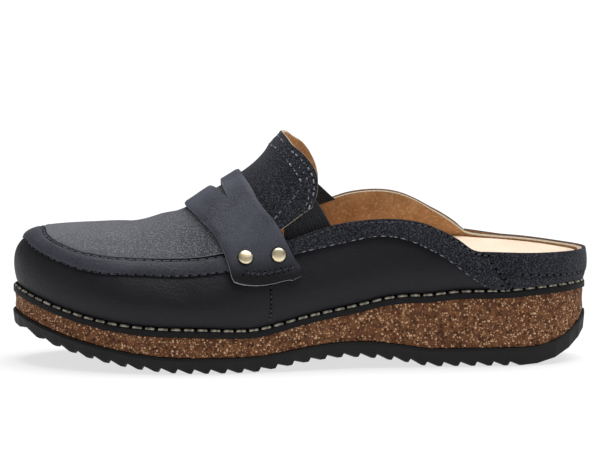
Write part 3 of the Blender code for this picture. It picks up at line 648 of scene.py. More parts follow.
def fine_stations():
    """Stations of the dressed pieces, closer together up the throat as well."""
    throat = [blend(THROAT_FOOT, THROAT, math.sin(math.pi / 2 * i / 14)) for i in range(15)]
    throat = [along for along in throat if abs(along - SIDE_SEAM) > SEAM_REACH * SEAM_WIDTH / SOLE_LENGTH]
    throat += [SIDE_SEAM + index * SEAM_WIDTH / SOLE_LENGTH for index in range(-3, 4)]
    even = [along for along in stations(14, 46, 18)
            if not THROAT_FOOT - THROAT_CLEAR < along < THROAT + THROAT_CLEAR]
    return sorted(even + throat)


def turns_around(shares):
    outer = [turn_at(1, along) for along in shares]
    inner = [turn_at(-1, along) for along in reversed(shares[:-1])]
    return outer + inner


def turns_ahead(start):
    """Turns from a share of the length on the outer side round the toe to the inner side."""
    return turns_around([start] + [along for along in fine_stations() if along > start])


def finer(values, parts):
    """The values with each gap between them cut into parts."""
    steps = []
    for low, high in zip(values, values[1:]):
        steps += [blend(low, high, index / parts) for index in range(parts)]
    return steps + [values[-1]]


def linear(code):
    """Linear colour of an sRGB hex code."""
    channels = [int(code[place:place + 2], 16) / 255 for place in (1, 3, 5)]
    return [c / 12.92 if c <= 0.04045 else ((c + 0.055) / 1.055)**2.4 for c in channels] + [1.0]


def add_node(tree, kind, inputs=None, **settings):
    """Adds a node with its settings. inputs give a socket a value or another node's output."""
    node = tree.nodes.new("ShaderNode" + kind)
    for name, value in settings.items():
        setattr(node, name, value)
    for socket, value in (inputs or {}).items():
        if isinstance(value, bpy.types.NodeSocket):
            tree.links.new(value, node.inputs[socket])
        else:
            node.inputs[socket].default_value = value
    return node


def begin_finish(name, patterns, **constants):
    """Material whose shader has its constant sockets set by name, with the patterns' values."""
    finish = bpy.data.materials.new(name)
    finish.use_nodes = True
    tree = finish.node_tree
    for socket, value in constants.items():
        tree.nodes["Principled BSDF"].inputs[socket.replace("_", " ")].default_value = value
    values = {}
    if patterns:
        values["place"] = add_node(tree, "TexCoord").outputs["Object"]
    for label, pattern in patterns.items():
        values[label] = add_node(tree, "TexNoise", {
            "Vector": values["place"], "Scale": 1 / pattern.size, "Detail": pattern.detail,
            "Roughness": pattern.roughness, "Distortion": pattern.distortion}).outputs["Fac"]
    return tree, values


def coat_finish(tree, values, ground, coats, relief, rough=None):
    """Coats over a ground colour, bumps from (pattern, depth) pairs, and a dial's roughness."""
    shader = tree.nodes["Principled BSDF"]
    colour = linear(ground)
    for coat in coats:
        share = add_node(tree, "MapRange", {"Value": values[coat.pattern], "From Min": coat.low,
                                            "From Max": coat.high, "To Max": coat.share})
        layer = linear(coat.colour) if isinstance(coat.colour, str) else coat.colour
        colour = add_node(tree, "Mix", {"Factor": share.outputs["Result"], 6: colour, 7: layer},
                          data_type="RGBA").outputs[2]
    tree.links.new(colour, shader.inputs["Base Color"])
    if rough:
        dial = add_node(tree, "MapRange", {"Value": values[rough.pattern], "From Min": rough.low,
                                           "From Max": rough.high, "To Min": rough.at_low,
                                           "To Max": rough.at_high})
        tree.links.new(dial.outputs["Result"], shader.inputs["Roughness"])
    below = {}
    for pattern, depth in relief:
        bump = add_node(tree, "Bump", {"Height": values[pattern], "Strength": 1.0,
                                       "Distance": depth, **below})
        below = {"Normal": bump.outputs["Normal"]}
    if below:
        tree.links.new(below["Normal"], shader.inputs["Normal"])


def smooth_leather(name, dark, light, roughness, foot=None):
    """Full-grain leather: a fine even grain, clouds of wax, and, where a foot colour is given, painted
    shade that darkens it below a height.
    """
    tree, values = begin_finish(name, {
        "clouds": Pattern(0.030, 4.0, 0.6), "specks": Pattern(0.0009, 3.0, 0.7),
        "folds": Pattern(0.006, 3.0, 0.55, 0.6)}, Specular_IOR_Level=0.24)
    values["cells"] = add_node(tree, "TexVoronoi", {"Vector": values["place"],
                                                    "Scale": 1 / GRAIN},
                               feature="SMOOTH_F1").outputs["Distance"]
    coats = [Coat("clouds", 0.32, 0.72, 1.0, light), Coat("specks", 0.45, 0.75, 0.8, light)]
    # painted shade: the foot colour darkens the strap's lower end, which faces away from the overhead
    # light
    if foot:
        values["height"] = add_node(tree, "SeparateXYZ", {"Vector": values["place"]}).outputs["Z"]
        coats.append(Coat("height", SHADE_END_HEIGHT, SHADE_FULL_HEIGHT, 1.0, foot))
    coat_finish(tree, values, dark, coats,
                (("folds", 0.00020), ("cells", 0.00016), ("specks", 0.00012)),
                Dial("clouds", 0.3, 0.7, roughness - 0.07, roughness + 0.09))


def nubuck(name, dark, light, speck, sheen=0.25, painted_toe_light=0.0):
    """Buffed leather: a short nap that scatters light, mottled, and, where asked, painted paler toward
    the toe as light.

    The real nap is finer than this one, which is as coarse as the render needs to show it.
    """
    tree, values = begin_finish(name, {
        "brushed": Pattern(0.018, 4.0, 0.65, 0.4), "nap": Pattern(0.0006, 3.0, 0.75),
        "fibre": Pattern(0.00035, 2.0, 0.6)}, Specular_IOR_Level=0.15, Sheen_Weight=sheen,
        Sheen_Roughness=0.45, Sheen_Tint=linear("#a3a5ab"))
    coats = [Coat("brushed", 0.3, 0.7, 1.0, light)]
    # painted light: the apron grows paler toward the toe, along X
    if painted_toe_light:
        values["along"] = add_node(tree, "SeparateXYZ", {"Vector": values["place"]}).outputs["X"]
        coats.append(Coat("along", TOE_LIGHT_START, TOE_LIGHT_END, painted_toe_light, speck))
    coats.append(Coat("nap", 0.49, 0.64, 0.95, speck))
    coat_finish(tree, values, dark, coats,
                (("brushed", 0.00015), ("nap", 0.00034), ("fibre", 0.00012)),
                Dial("nap", 0.3, 0.7, 0.95, 0.78))


def cork(name):
    """Pressed cork: brown granules with dark bark and small pale crumbs between them."""
    tree, values = begin_finish(name, {"rough": Pattern(0.0016, 3.0, 0.6)},
                                Specular_IOR_Level=0.25, Roughness=0.78)
    place = values["place"]
    ragged = add_node(tree, "TexNoise", {"Vector": place, "Scale": 1 / 0.0012, "Detail": 2.0,
                                         "Roughness": 0.6})
    bent = add_node(tree, "VectorMath", {0: ragged.outputs["Color"], "Scale": 0.0009},
                    operation="SCALE")
    torn = add_node(tree, "VectorMath", {0: place, 1: bent.outputs["Vector"]}, operation="ADD")
    granules = {"Vector": torn.outputs["Vector"], "Scale": 1 / CORK_GRANULE}
    grains = add_node(tree, "TexVoronoi", granules)
    seams = add_node(tree, "TexVoronoi", granules, feature="DISTANCE_TO_EDGE")
    crumbs = add_node(tree, "TexVoronoi", {"Vector": torn.outputs["Vector"],
                                           "Scale": 1 / CORK_CRUMB})
    parts = add_node(tree, "SeparateColor", {"Color": grains.outputs["Color"]})
    picks = add_node(tree, "SeparateColor", {"Color": crumbs.outputs["Color"]})
    reach = add_node(tree, "MapRange", {"Value": picks.outputs["Blue"], "To Min": 0.10,
                                        "To Max": 0.56})
    core = add_node(tree, "Math", {0: reach.outputs["Result"], 1: crumbs.outputs["Distance"]},
                    operation="SUBTRACT")
    bark = add_node(tree, "Math", {0: picks.outputs["Green"], 1: 0.93}, operation="GREATER_THAN")
    pale = add_node(tree, "Mix", {"Factor": picks.outputs["Red"], 6: linear("#a5744b"),
                                  7: linear("#ecc49c")}, data_type="RGBA").outputs[2]
    values.update(grain=parts.outputs["Red"], seams=seams.outputs["Distance"],
                  core=core.outputs[0], bark=bark.outputs[0])
    coats = (Coat("grain", 0.0, 0.35, 1.0, "#68412a"), Coat("grain", 0.35, 0.7, 1.0, "#754a2e"),
             Coat("grain", 0.7, 1.0, 1.0, "#835a38"), Coat("core", 0.0, 0.10, 1.0, pale),
             Coat("bark", 0.0, 1.0, 1.0, "#452a19"), Coat("seams", 0.05, 0.0, 0.35, "#50311d"))
    coat_finish(tree, values, "#563520", coats, (("seams", 0.00025), ("rough", 0.00025)))


def rubber(name):
    """Moulded rubber: dull black with a fine mould texture and a little dust."""
    tree, values = begin_finish(name, {"dust": Pattern(0.012, 4.0, 0.6),
                                       "mould": Pattern(0.0006, 2.0, 0.6)},
                                Specular_IOR_Level=0.35)
    coat_finish(tree, values, "#09090a", [Coat("dust", 0.35, 0.75, 1.0, "#121213")],
                [("mould", 0.00006)], Dial("dust", 0.3, 0.7, 0.55, 0.72))


def suede_lining(name):
    """Tan pigskin lining: matte, with a loose nap and paler specks."""
    tree, values = begin_finish(name, {"clouds": Pattern(0.010, 4.0, 0.65),
                                       "specks": Pattern(0.0012, 3.0, 0.7)},
                                Specular_IOR_Level=0.15, Roughness=0.92, Sheen_Weight=0.3,
                                Sheen_Roughness=0.5, Sheen_Tint=linear("#e0b48a"))
    coat_finish(tree, values, "#a5774b", [Coat("clouds", 0.3, 0.7, 1.0, "#cc9b6c"),
                                          Coat("specks", 0.50, 0.72, 0.6, "#edc8a0")],
                [("specks", 0.00025)])


def insole_leather(name):
    """Pale leather of the footbed: smooth and dry, with fine pores and faint stains."""
    tree, values = begin_finish(name, {"clouds": Pattern(0.020, 4.0, 0.6),
                                       "pores": Pattern(0.0009, 3.0, 0.7)},
                                Specular_IOR_Level=0.25)
    coat_finish(tree, values, "#edd5ba", [Coat("clouds", 0.3, 0.7, 1.0, "#f8e6d0"),
                                          Coat("pores", 0.55, 0.75, 0.5, "#dcc1a2")],
                [("pores", 0.00010)], Dial("clouds", 0.3, 0.7, 0.62, 0.75))


def cut_edge(name, dark, light):
    """Cut edge of leather: fibrous, paler than the dyed face."""
    tree, values = begin_finish(name, {"fibres": Pattern(0.0008, 3.0, 0.7)},
                                Specular_IOR_Level=0.2, Roughness=0.85)
    coat_finish(tree, values, dark, [Coat("fibres", 0.35, 0.65, 1.0, light)],
                [("fibres", 0.00012)])


def waxed_thread(name, dark, light):
    """Waxed thread: two plies twisted together, with painted highlights where they catch the light in
    turn.
    """
    tree, values = begin_finish(name, {}, Specular_IOR_Level=0.4, Roughness=0.55)
    place = add_node(tree, "TexCoord").outputs["Object"]
    values["plies"] = add_node(tree, "TexWave", {"Vector": place, "Distortion": 2.0,
                                                 "Scale": WAVE_TURN / PLY_LENGTH},
                               bands_direction="DIAGONAL").outputs["Fac"]
    coat_finish(tree, values, dark, [Coat("plies", 0.2, 0.8, 1.0, light)], [("plies", 0.00010)])


def elastic(name):
    """Woven elastic: near black, with its weave drawn coarser than it is, so that it shows."""
    tree, values = begin_finish(name, {"weave": Pattern(0.0005, 2.0, 0.5)},
                                Specular_IOR_Level=0.2, Roughness=0.85, Sheen_Weight=0.2)
    coat_finish(tree, values, "#17181b", [Coat("weave", 0.35, 0.7, 1.0, "#3a3c41")],
                [("weave", 0.00012)])


def brass(name):
    """Pale brass: brushed dull by handling, with faint cloudy tarnish."""
    tree, values = begin_finish(name, {"tarnish": Pattern(0.0030, 3.0, 0.6)}, Metallic=1.0)
    coat_finish(tree, values, "#e6d3a8", [Coat("tarnish", 0.3, 0.7, 1.0, "#fbeed0")], [],
                Dial("tarnish", 0.3, 0.7, 0.32, 0.48))


def hole_shade(name):
    """Painted shade of a needle's hole."""
    begin_finish(name, {}, Roughness=1.0, Specular_IOR_Level=0.0,
                 Base_Color=linear("#050506"))


def studio_floor(name):
    """Matt white studio floor with a glow of its own, painted light that keeps its shadows pale."""
    begin_finish(name, {}, Roughness=0.9, Specular_IOR_Level=0.1, Base_Color=linear("#9a9a9a"),
                 Emission_Strength=FLOOR_GLOW, Emission_Color=linear("#ffffff"))


FINISHES = {
    "black rubber": (rubber,),
    "cork": (cork,),
    "rand leather": (smooth_leather, "#0b0b0d", "#151518", 0.60),
    "pale insole leather": (insole_leather,),
    "navy smooth leather": (smooth_leather, "#141418", "#202025", 0.54),
    "navy nubuck": (nubuck, "#101115", "#1a1b21", "#565760"),
    # its last number paints the apron paler toward the toe, as light
    "brushed apron nubuck": (nubuck, "#202126", "#35363c", "#8f9096", 0.35, 0.35),
    # its last colour is painted shade on the strap's lower end
    "slate strap leather": (smooth_leather, "#34353e", "#5a5c67", 0.56, "#0e0e11"),
    "slate band leather": (smooth_leather, "#2b2c33", "#4b4c55", 0.60),
    "black elastic": (elastic,),
    "pale brass": (brass,),
    "tan lining suede": (suede_lining,),
    # the dark leather's cut edge: paler than its face, and paler still as a painted highlight along the
    # apron's and strap's edges
    "dark cut edge": (cut_edge, "#77777f", "#b8b8be"),
    "pale cut edge": (cut_edge, "#a79a86", "#cdbfa8"),
    "pale sole thread": (waxed_thread, "#7d7768", "#b4ad9b"),
    "dark seam thread": (waxed_thread, "#121317", "#44454d"),
    "grey seam thread": (waxed_thread, "#37383f", "#a2a4ab"),
    "needle hole shade": (hole_shade,),
    "white studio floor": (studio_floor,),
}


def finish_of(name):
    """The finish of that name, made at its first use."""
    if name not in bpy.data.materials:
        maker, *choices = FINISHES[name]
        maker(name, *choices)
    return bpy.data.materials[name]


def settings():
    return bpy.context.scene.clog_dress


def add_object(name, mesh, finishes):
    """Object with its finishes, in the place of one of that name from an earlier press."""
    old = bpy.data.objects.get(name)
    if old:
        bpy.data.objects.remove(old)
    piece = bpy.data.objects.new(name, mesh)
    bpy.context.scene.collection.objects.link(piece)
    for finish in finishes:
        mesh.materials.append(finish_of(finish))
    mesh.shade_smooth()
    return piece


def declare(piece, slot, *nodes):
    """Rides on the clog's one body and hides the nodes that it stands for. The slot is not used."""
    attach(piece, "root")
    if nodes:
        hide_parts(*nodes)
    return piece


def round_edges(piece, radius):
    bevel = piece.modifiers.new("Rounded edges", "BEVEL")
    bevel.width = radius
    bevel.segments = 2
    bevel.limit_method = "ANGLE"
    bevel.angle_limit = math.radians(50)
    return piece


def warped_grid(rows):
    """Mesh of a grid whose points are given row by row, with points that meet merged."""
    form = bmesh.new()
    bmesh.ops.create_grid(form, x_segments=len(rows[0]) - 1, y_segments=len(rows) - 1, size=0.5)
    for vertex, point in zip(form.verts, [point for row in rows for point in row]):
        vertex.co = point
    bmesh.ops.remove_doubles(form, verts=form.verts, dist=MERGE)
    return form


def finish_mesh(name, form):
    if form.calc_volume(signed=True) < 0:
        bmesh.ops.reverse_faces(form, faces=form.faces)
    mesh = bpy.data.meshes.new(name)
    form.to_mesh(mesh)
    form.free()
    return mesh


def add_loft(name, rings, finish, sharp_angle):
    """Solid of closed sections, or of a closed round of them, with its corners kept sharp."""
    piece = add_object(name, finish_mesh(name, warped_grid(rings)), [finish])
    piece.data.set_sharp_from_angle(angle=math.radians(sharp_angle))
    return piece


def spots(outer, inner, spot):
    """Rows of what spot gives for each pair of an outer and an inner value."""
    return [[spot(first, second) for second in inner] for first in outer]


def add_sheet(name, rows, face, edge, lining="tan lining suede"):
    """Sheet over the last. rows hold spots: a turn, a climb, and the lifts of its two faces."""
    form = bmesh.new()
    form.verts.layers.float_vector.new("far")
    bmesh.ops.create_grid(form, x_segments=len(rows[0]) - 1, y_segments=len(rows) - 1, size=0.5)
    far = form.verts.layers.float_vector["far"]
    for vertex, (turn, climb, low, high) in zip(form.verts, [spot for row in rows for spot in row]):
        vertex.co = skin(turn, climb, low)
        vertex[far] = skin(turn, climb, high)
    bmesh.ops.remove_doubles(form, verts=form.verts, dist=MERGE)
    for item in form.faces:
        item.material_index = INNER
    raised = bmesh.ops.extrude_face_region(form, geom=form.faces[:], use_keep_orig=True)
    far = form.verts.layers.float_vector["far"]
    outer_verts = set()
    for item in raised["geom"]:
        if isinstance(item, bmesh.types.BMVert):
            item.co = item[far]
        elif isinstance(item, bmesh.types.BMFace):
            item.material_index = OUTER
            outer_verts.update(item.verts)
    for item in form.faces:
        above = sum(vertex in outer_verts for vertex in item.verts)
        if 0 < above < len(item.verts):
            item.material_index = RIM
    bmesh.ops.recalc_face_normals(form, faces=form.faces)
    return add_object(name, finish_mesh(name, form), [face, lining, edge])


def fold_lift(turn, climb):
    """Soft troughs and ridges of the folds that wear and lasting leave in the leather."""
    side = 1 if math.sin(turn) >= 0 else -1
    here = Vector((SOLE_LENGTH * along_at(turn), CLIMB_LENGTH * climb))
    lift = 0.0
    for fold in FOLDS:
        if fold.side and fold.side != side:
            continue
        start = Vector((SOLE_LENGTH * fold.along_1, CLIMB_LENGTH * fold.climb_1))
        line = Vector((SOLE_LENGTH * fold.along_2, CLIMB_LENGTH * fold.climb_2)) - start
        share = min(max((here - start).dot(line) / line.length_squared, 0.0), 1.0)
        off = (here - start - line * share).length / fold.width
        if off < FOLD_REACH:
            whole = 0.5 if fold.climb_2 >= 90.0 else 1.0
            fade = math.sin(math.pi * share * whole)
            lift += fold.lift * fade * (1.0 - FOLD_RIDGE * off * off) * math.exp(-off * off)
    return lift * settings().fold_depth


def crown_lift(turn, climb):
    """The apron is full over the toes' joints and lies lower just ahead of them."""
    top = bare_skin(turn_at(1, TOE_FAN), 90.0)
    here = bare_skin(turn, climb)
    away = math.hypot(here.x - top.x, here.y - top.y)
    ahead = min(1.0, max(0.0, (here.x - top.x) / CROWN_REACH))
    return (CROWN_FILL * math.exp(-(away / CROWN_REACH)**2)
            - CROWN_FILL * ahead * math.exp(-((away - CROWN_HOLLOW * CROWN_REACH) / CROWN_REACH)**2))


def seam_groove(turn, climb):
    """The vamp ends in a lapped side seam: a narrow groove with a small step behind it."""
    if climb > SIDE_SEAM_TOP:
        return 0.0
    off = SOLE_LENGTH * (along_at(turn) - SIDE_SEAM) / SEAM_WIDTH
    if abs(off) > SEAM_REACH:
        return 0.0
    step = SEAM_STEP / (1.0 + math.exp(SEAM_STEEP * off))
    return step * math.exp(-max(0.0, -off) / SEAM_FADE) - SEAM_DEPTH * math.exp(-off * off)


def across(start, end, steps, drop):
    """Points between two edge points, lowered in the middle by drop."""
    fall = drop * min(1.0, (end - start).length / HEEL_WIDTH)
    points = [start.lerp(end, share) for share in even(steps)[1:-1]]
    for point, share in zip(points, even(steps)[1:-1]):
        point.z -= fall * bow(share)
    return points


def section_rings(side_points, top_steps, top_drop):
    """Closed sections across the sole, from its outer edge's points over to the inner edge's."""
    rings = []
    for along in fine_stations():
        rise = side_points(turn_at(1, along))
        fall = side_points(turn_at(-1, along))[::-1]
        ring = rise + across(rise[-1], fall[0], top_steps, top_drop) + fall
        ring += across(fall[-1], rise[0], 2, 0.0)
        rings.append(ring + ring[:1])
    return rings


def cork_side(turn):
    """Cork's edge at a turn: trimmed a little hollow, rounded, and stepped in for the rand."""
    low = on_layer(turn, CORK_INSET, "tread", GAP)
    high = on_layer(turn, CORK_INSET, "cork")
    points = [on_layer(turn, CORK_INSET + TRIM_ROUND, "tread", GAP)]
    for share in even(6):
        trimmed = TRIM_ROUND * max(0.0, 1.0 - min(share, 1.0 - share) * TRIM_PARTS)
        edge = sole_edge(turn, CORK_INSET + trimmed + CORK_HOLLOW * bow(share))
        edge.z = blend(low.z, high.z, share)
        points.append(edge)
    inside = RAND_INSET + RAND_WIDTH + GAP
    return points + [on_layer(turn, inside, "cork"), on_layer(turn, inside, "rand")]


def make_midsole():
    """Cork between outsole and rand."""
    midsole = add_loft("cork_midsole", section_rings(cork_side, 2, 0.0), "cork", 40)
    return declare(midsole, "midsole_cork", "midsole")


def make_rand():
    """Leather strip round the clog, rounded at its outer edge, with a groove for the thread."""
    def spot(turn, corner):
        inward, upward = corner
        point = on_layer(turn, blend(RAND_INSET, RAND_INSET + RAND_WIDTH, inward), "cork", GAP)
        point.z = blend(point.z, level("rand", share_of(point)), upward)
        return point

    rings = spots(turns_around(fine_stations()), RAND_OUTLINE, spot)
    return declare(add_loft("sole_rand", rings, "rand leather", 50), "rand_leather", "rand")


def bed_side(turn):
    """Edge of the footbed at a turn, bottom first, clear of the upper's inside."""
    inside = -(UPPER_WALL + BED_CLEAR)
    foot = skin(turn, 0.0, inside)
    low = level("rand", share_of(foot)) + GAP
    high = level("bed", along_at(turn))
    if math.sin(turn) < 0:
        high += FOOTBED_HEEL * read(LAYERS, "bed_arch", along_at(turn))
    foot.z = low
    points = [foot]
    for share in (0.33, 0.67, 0.9, 1.0):
        height = blend(low, high, share)
        sought = height
        for _ in range(5):
            point = skin(turn, climb_at(turn, sought), inside)
            sought += height - point.z
        point.z = height
        points.append(point)
    return points


def make_insole():
    """Footbed with its cup, the soft hollow that a heel and a ball press into it."""
    rings = section_rings(bed_side, 18, FOOTBED_CUP)
    bed = add_loft("covered_footbed", rings, "pale insole leather", 60)
    return declare(round_edges(bed, BED_ROUND), "insole_leather", "insole")


def make_upper():
    """Vamp, quarters and heel, with folds, the lapped side seam and the tan lining inside."""
    def spot(turn, share):
        climb = top_climb(turn) * share
        near_edge = min(1.0, (1.0 - share) * RIM_FADE) * min(1.0, share * FOOT_FADE)
        lift = (fold_lift(turn, climb) + seam_groove(turn, climb)) * near_edge
        return turn, climb, -UPPER_WALL, lift

    rows = spots(turns_around(fine_stations()), finer(UPPER_ROWS, 3), spot)
    upper = add_sheet("shell_leather", rows, "navy smooth leather", "pale cut edge")
    return declare(round_edges(upper, SHELL_ROUND), "smooth_leather", "upper")


def make_apron():
    """Apron of brushed nubuck, its cut edge standing up along the seam."""
    def spot(turn, share):
        climb = blend(read(SEAM, "apron", along_at(turn)) + SEAM_GROOVE, 90.0, share)
        edge = LAY_GAP + APRON_THICK * (1.0 - APRON_THIN * math.exp(-(share / THIN_REACH)**2))
        soft = fold_lift(turn, climb) + crown_lift(turn, climb)
        return turn, climb, LAY_GAP, edge + soft * min(1.0, share * APRON_FADE)

    rows = spots(turns_ahead(APRON_END), APRON_ROWS, spot)
    apron = add_sheet("apron_nubuck", rows, "brushed apron nubuck", "dark cut edge")
    return declare(round_edges(apron, APRON_ROUND), "nubuck", "apron")


def make_roll():
    """Band round the apron, drawn in by its two rows of stitches."""
    def spot(turn, share):
        low = read(SEAM, "roll", along_at(turn))
        high = read(SEAM, "apron", along_at(turn))
        outside = LAY_GAP + ROLL_THICK * read(ROLL_CURVE, "rise", share)
        return turn, blend(low, high, share), min(LAY_GAP, outside - TUCK), outside

    rows = spots(turns_ahead(APRON_END), ROLL_STEPS, spot)
    roll = add_sheet("apron_band", rows, "slate band leather", "slate band leather")
    return declare(roll, "nubuck", "apron_roll")


def strap_lift(climb):
    """The strap lies on the wall at its ends, and over apron and tongue at the crown."""
    over = LAY_GAP + max(TONGUE_THICK, ROLL_THICK) + GAP
    share = min(1.0, max(0.0, (climb - STRAP_FLAT) / (STRAP_RAISED - STRAP_FLAT)))
    return blend(LAY_GAP, over, share * share * (3 - 2 * share))


def strap_top(turn, climb):
    return skin(turn, climb, strap_lift(climb) + STRAP_THICK)


def strap_frame(turn, climb):
    """Point on the strap's face and the direction out of it."""
    around = strap_top(turn - TURN_STEP, climb) - strap_top(turn + TURN_STEP, climb)
    upward = strap_top(turn, climb + 1.0) - strap_top(turn, climb - 1.0)
    return strap_top(turn, climb), around.cross(upward).normalized()


def over_the_crown(climbs):
    """Sides and climbs from the outer side over the crown to the inner side."""
    return [(1, climb) for climb in climbs] + [(-1, climb) for climb in reversed(climbs[:-1])]


def make_strap():
    """Saddle strap with its crescent cut through, its cut edges grey."""
    def spot(place, share):
        side, climb = place
        along = blend(read(STRAP, "front", climb), read(STRAP, "back", climb), share)
        edge = 1.0 - STRAP_THIN * math.exp(-(min(share, 1.0 - share) / THIN_REACH)**2)
        lift = strap_lift(climb)
        return turn_at(side, along), climb, lift, lift + STRAP_THICK * edge

    rows = spots(over_the_crown(finer([row.climb for row in STRAP], 5)), even(20), spot)
    strap = add_sheet("strap_leather", rows, "slate strap leather", "dark cut edge")
    cut = strap.modifiers.new("Crescent", "BOOLEAN")
    cut.operation = "DIFFERENCE"
    cut.solver = "EXACT"
    cut.object = slot_cutter()
    with bpy.context.temp_override(object=strap, active_object=strap):
        bpy.ops.object.modifier_apply(modifier=cut.name)
    bpy.data.objects.remove(bpy.data.objects["crescent_cutter"])
    strap.data.shade_smooth()
    strap.data.set_sharp_from_angle(angle=math.radians(40))
    return declare(round_edges(strap, STRAP_ROUND), "strap_leather", "saddle_strap")


def slot_cutter():
    """Upright prism whose plan is a crescent, its points to the sides and its bow forward."""
    steps = 28
    place = SOLE_LENGTH * (SLOT_PLACE - 0.5)
    low = crown_level(SLOT_PLACE) / 2
    high = 2 * crown_level(SLOT_PLACE)
    plan = []
    for height, start in ((SLOT_FRONT_BOW, 0), (SLOT_BACK_BOW, steps)):
        for index in range(steps):
            share = abs(start - index) / steps
            aside = SLOT_LENGTH * (share - 0.5)
            plan.append(Vector((place + height * bow(share), aside, low)))
    form = bmesh.new()
    face = form.faces.new([form.verts.new(point) for point in plan])
    raised = bmesh.ops.extrude_face_region(form, geom=[face])
    top = [item for item in raised["geom"] if isinstance(item, bmesh.types.BMVert)]
    bmesh.ops.translate(form, verts=top, vec=(0.0, 0.0, high - low))
    bmesh.ops.recalc_face_normals(form, faces=form.faces)
    cutter = add_object("crescent_cutter", finish_mesh("crescent_cutter", form),
                        ["dark cut edge"])
    cutter.hide_render = True
    return cutter


def make_rivets():
    """Domed rivet heads, each standing square on the strap's face."""
    def spot(ring, share):
        reach, rise = ring
        angle = 2 * math.pi * share
        return Vector((reach * math.cos(angle) * RIVET_WIDTH / 2,
                       reach * math.sin(angle) * RIVET_WIDTH / 2, rise * RIVET_RISE))

    for side_name, side in SIDES:
        for rivet in RIVETS:
            name = "rivet_" + side_name + "_" + rivet.name
            form = warped_grid(spots(RIVET_PROFILE, even(40), spot))
            head = add_object("head_" + name, finish_mesh(name, form), ["pale brass"])
            point, normal = strap_frame(turn_at(side, rivet.along), rivet.climb)
            head.rotation_euler = normal.to_track_quat("Z", "Y").to_euler()
            head.location = point + normal * GAP
            declare(head, "brass", name)


def tongue_back(side, climb):
    return read(TONGUE, "outer" if side > 0 else "inner", climb)


def make_tongue():
    """Tall curved tongue with a stitched border, a sewn panel and a tan lining."""
    def spot(place, share):
        side, climb = place
        back = tongue_back(side, climb)
        along = blend(TONGUE_FRONT, back, share)
        to_sewing = (along - back) * SOLE_LENGTH - TONGUE_SEW
        groove = TONGUE_GROOVE * math.exp(-(to_sewing / TONGUE_GROOVE_WIDTH)**2)
        to_panel = (along - read(TONGUE_PANEL, "along", climb)) * SOLE_LENGTH
        step = PANEL_STEP / (1.0 + math.exp(-to_panel / PANEL_STEP_WIDTH))
        return turn_at(side, along), climb, LAY_GAP, LAY_GAP + TONGUE_THICK - groove - step

    rows = spots(over_the_crown(finer([row.climb for row in TONGUE], 7)), even(30), spot)
    tongue = add_sheet("tongue_nubuck", rows, "navy nubuck", "pale cut edge")
    return declare(round_edges(tongue, TONGUE_ROUND), "nubuck", "tongue")


def make_gores():
    """Ribbed elastics, each with its foot inside the quarter and its head under the tongue."""
    head = TONGUE[0].climb + GORE_TUCK
    inside = -(UPPER_WALL + LAY_GAP)
    for gore in GORES:
        def spot(column, share, gore=gore):
            turn = turn_at(gore.side, blend(gore.front, blend(gore.foot, gore.head, share), column))
            edge = top_climb(turn)
            climb = blend(edge - GORE_FOOT_TUCK, head, share)
            free = min(1.0, max(0.0, (climb - edge - GORE_STEP) / (head - edge - GORE_STEP)))
            outside = blend(inside, 0.0, free)
            rib = GORE_RELIEF * 0.5 * (1.0 - math.cos(2 * math.pi * column * GORE_RIBS))
            return turn, climb, outside - GORE_THICK, outside - GORE_RELIEF + rib

        rows = spots(even(GORE_RIBS * 6), even(12), spot)
        panel = add_sheet("elastic_" + gore.name, rows, "black elastic", "black elastic",
                          "black elastic")
        declare(panel, "elastic", "gore_" + gore.name)


def make_collars():
    """Nubuck bands along the quarters' edges, thin at their lower seams."""
    for name, side in SIDES:
        def spot(step, share, side=side):
            back = blend(COLLAR_FOOT_END, COLLAR_TOP_END, share)
            along = blend(back, STRAP[1].back, step)
            for _ in range(3):
                foot = read(COLLAR, "climb", along)
                climb = blend(foot, top_climb(turn_at(side, along)) + EDGE_OVER, share)
                front = read(STRAP, "back", max(climb, STRAP[1].climb)) - BAND_CLEAR
                along = blend(back, front, step)
            swell = COLLAR_SWELL[0] + COLLAR_SWELL[1] * bow(share)
            return turn_at(side, along), climb, BAND_LIFT, BAND_LIFT + BAND_THICK * swell

        collar = add_sheet("collar_band_" + name, spots(even(60), even(12), spot),
                           "navy nubuck", "navy nubuck")
        declare(round_edges(collar, BAND_ROUND), "nubuck", "collar_" + name)


def turns_behind(end):
    """Turns round the heel from a share of the length on the inner side to the outer side."""
    shares = [along for along in fine_stations() if along < end]
    inner = [-turn_at(1, along) for along in reversed(shares[1:])]
    return inner + [turn_at(1, along) for along in shares]


def make_cuff():
    """Nubuck round the heel's rim, with a second piece sewn on below it down to the rand."""
    middle = turns_behind(COLLAR_FOOT_END - CUFF_CLEAR)

    def spot(step, share):
        end = turn_at(1, blend(COLLAR_FOOT_END, COLLAR_TOP_END, share) - CUFF_CLEAR)
        turn = ([-end] + middle + [end])[step]
        climb = blend(CUFF_FOOT_CLIMB, top_climb(turn) + EDGE_OVER, share)
        off = climb - read(CUFF, "climb", along_at(turn))
        swell = CUFF_SWELL[1] if off > 0 else CUFF_SWELL[0]
        groove = CUFF_GROOVE * math.exp(-(off / CUFF_GROOVE_CLIMB)**2)
        return turn, climb, LAY_GAP, LAY_GAP + CUFF_THICK * (swell - groove)

    rows = spots(range(len(middle) + 2), even(24), spot)
    cuff = add_sheet("cuff_band", rows, "navy nubuck", "navy nubuck")
    return declare(round_edges(cuff, BAND_ROUND), "nubuck", "heel_cuff")


def frame_at(turn, climb, lift):
    """Point over the last and the direction out of the leather there."""
    return skin(turn, climb, lift), skin_normal(turn, climb)


def walk(points, pitch):
    """Spots at an even pitch along a run of (point, normal) pairs."""
    places = [points[0]]
    left = pitch
    for (start, start_normal), (end, end_normal) in zip(points, points[1:]):
        length = (end - start).length
        used = 0.0
        while length - used >= left:
            used += left
            share = used / length
            places.append((start.lerp(end, share), start_normal.lerp(end_normal, share)))
            left = pitch
        left -= length - used
    return places


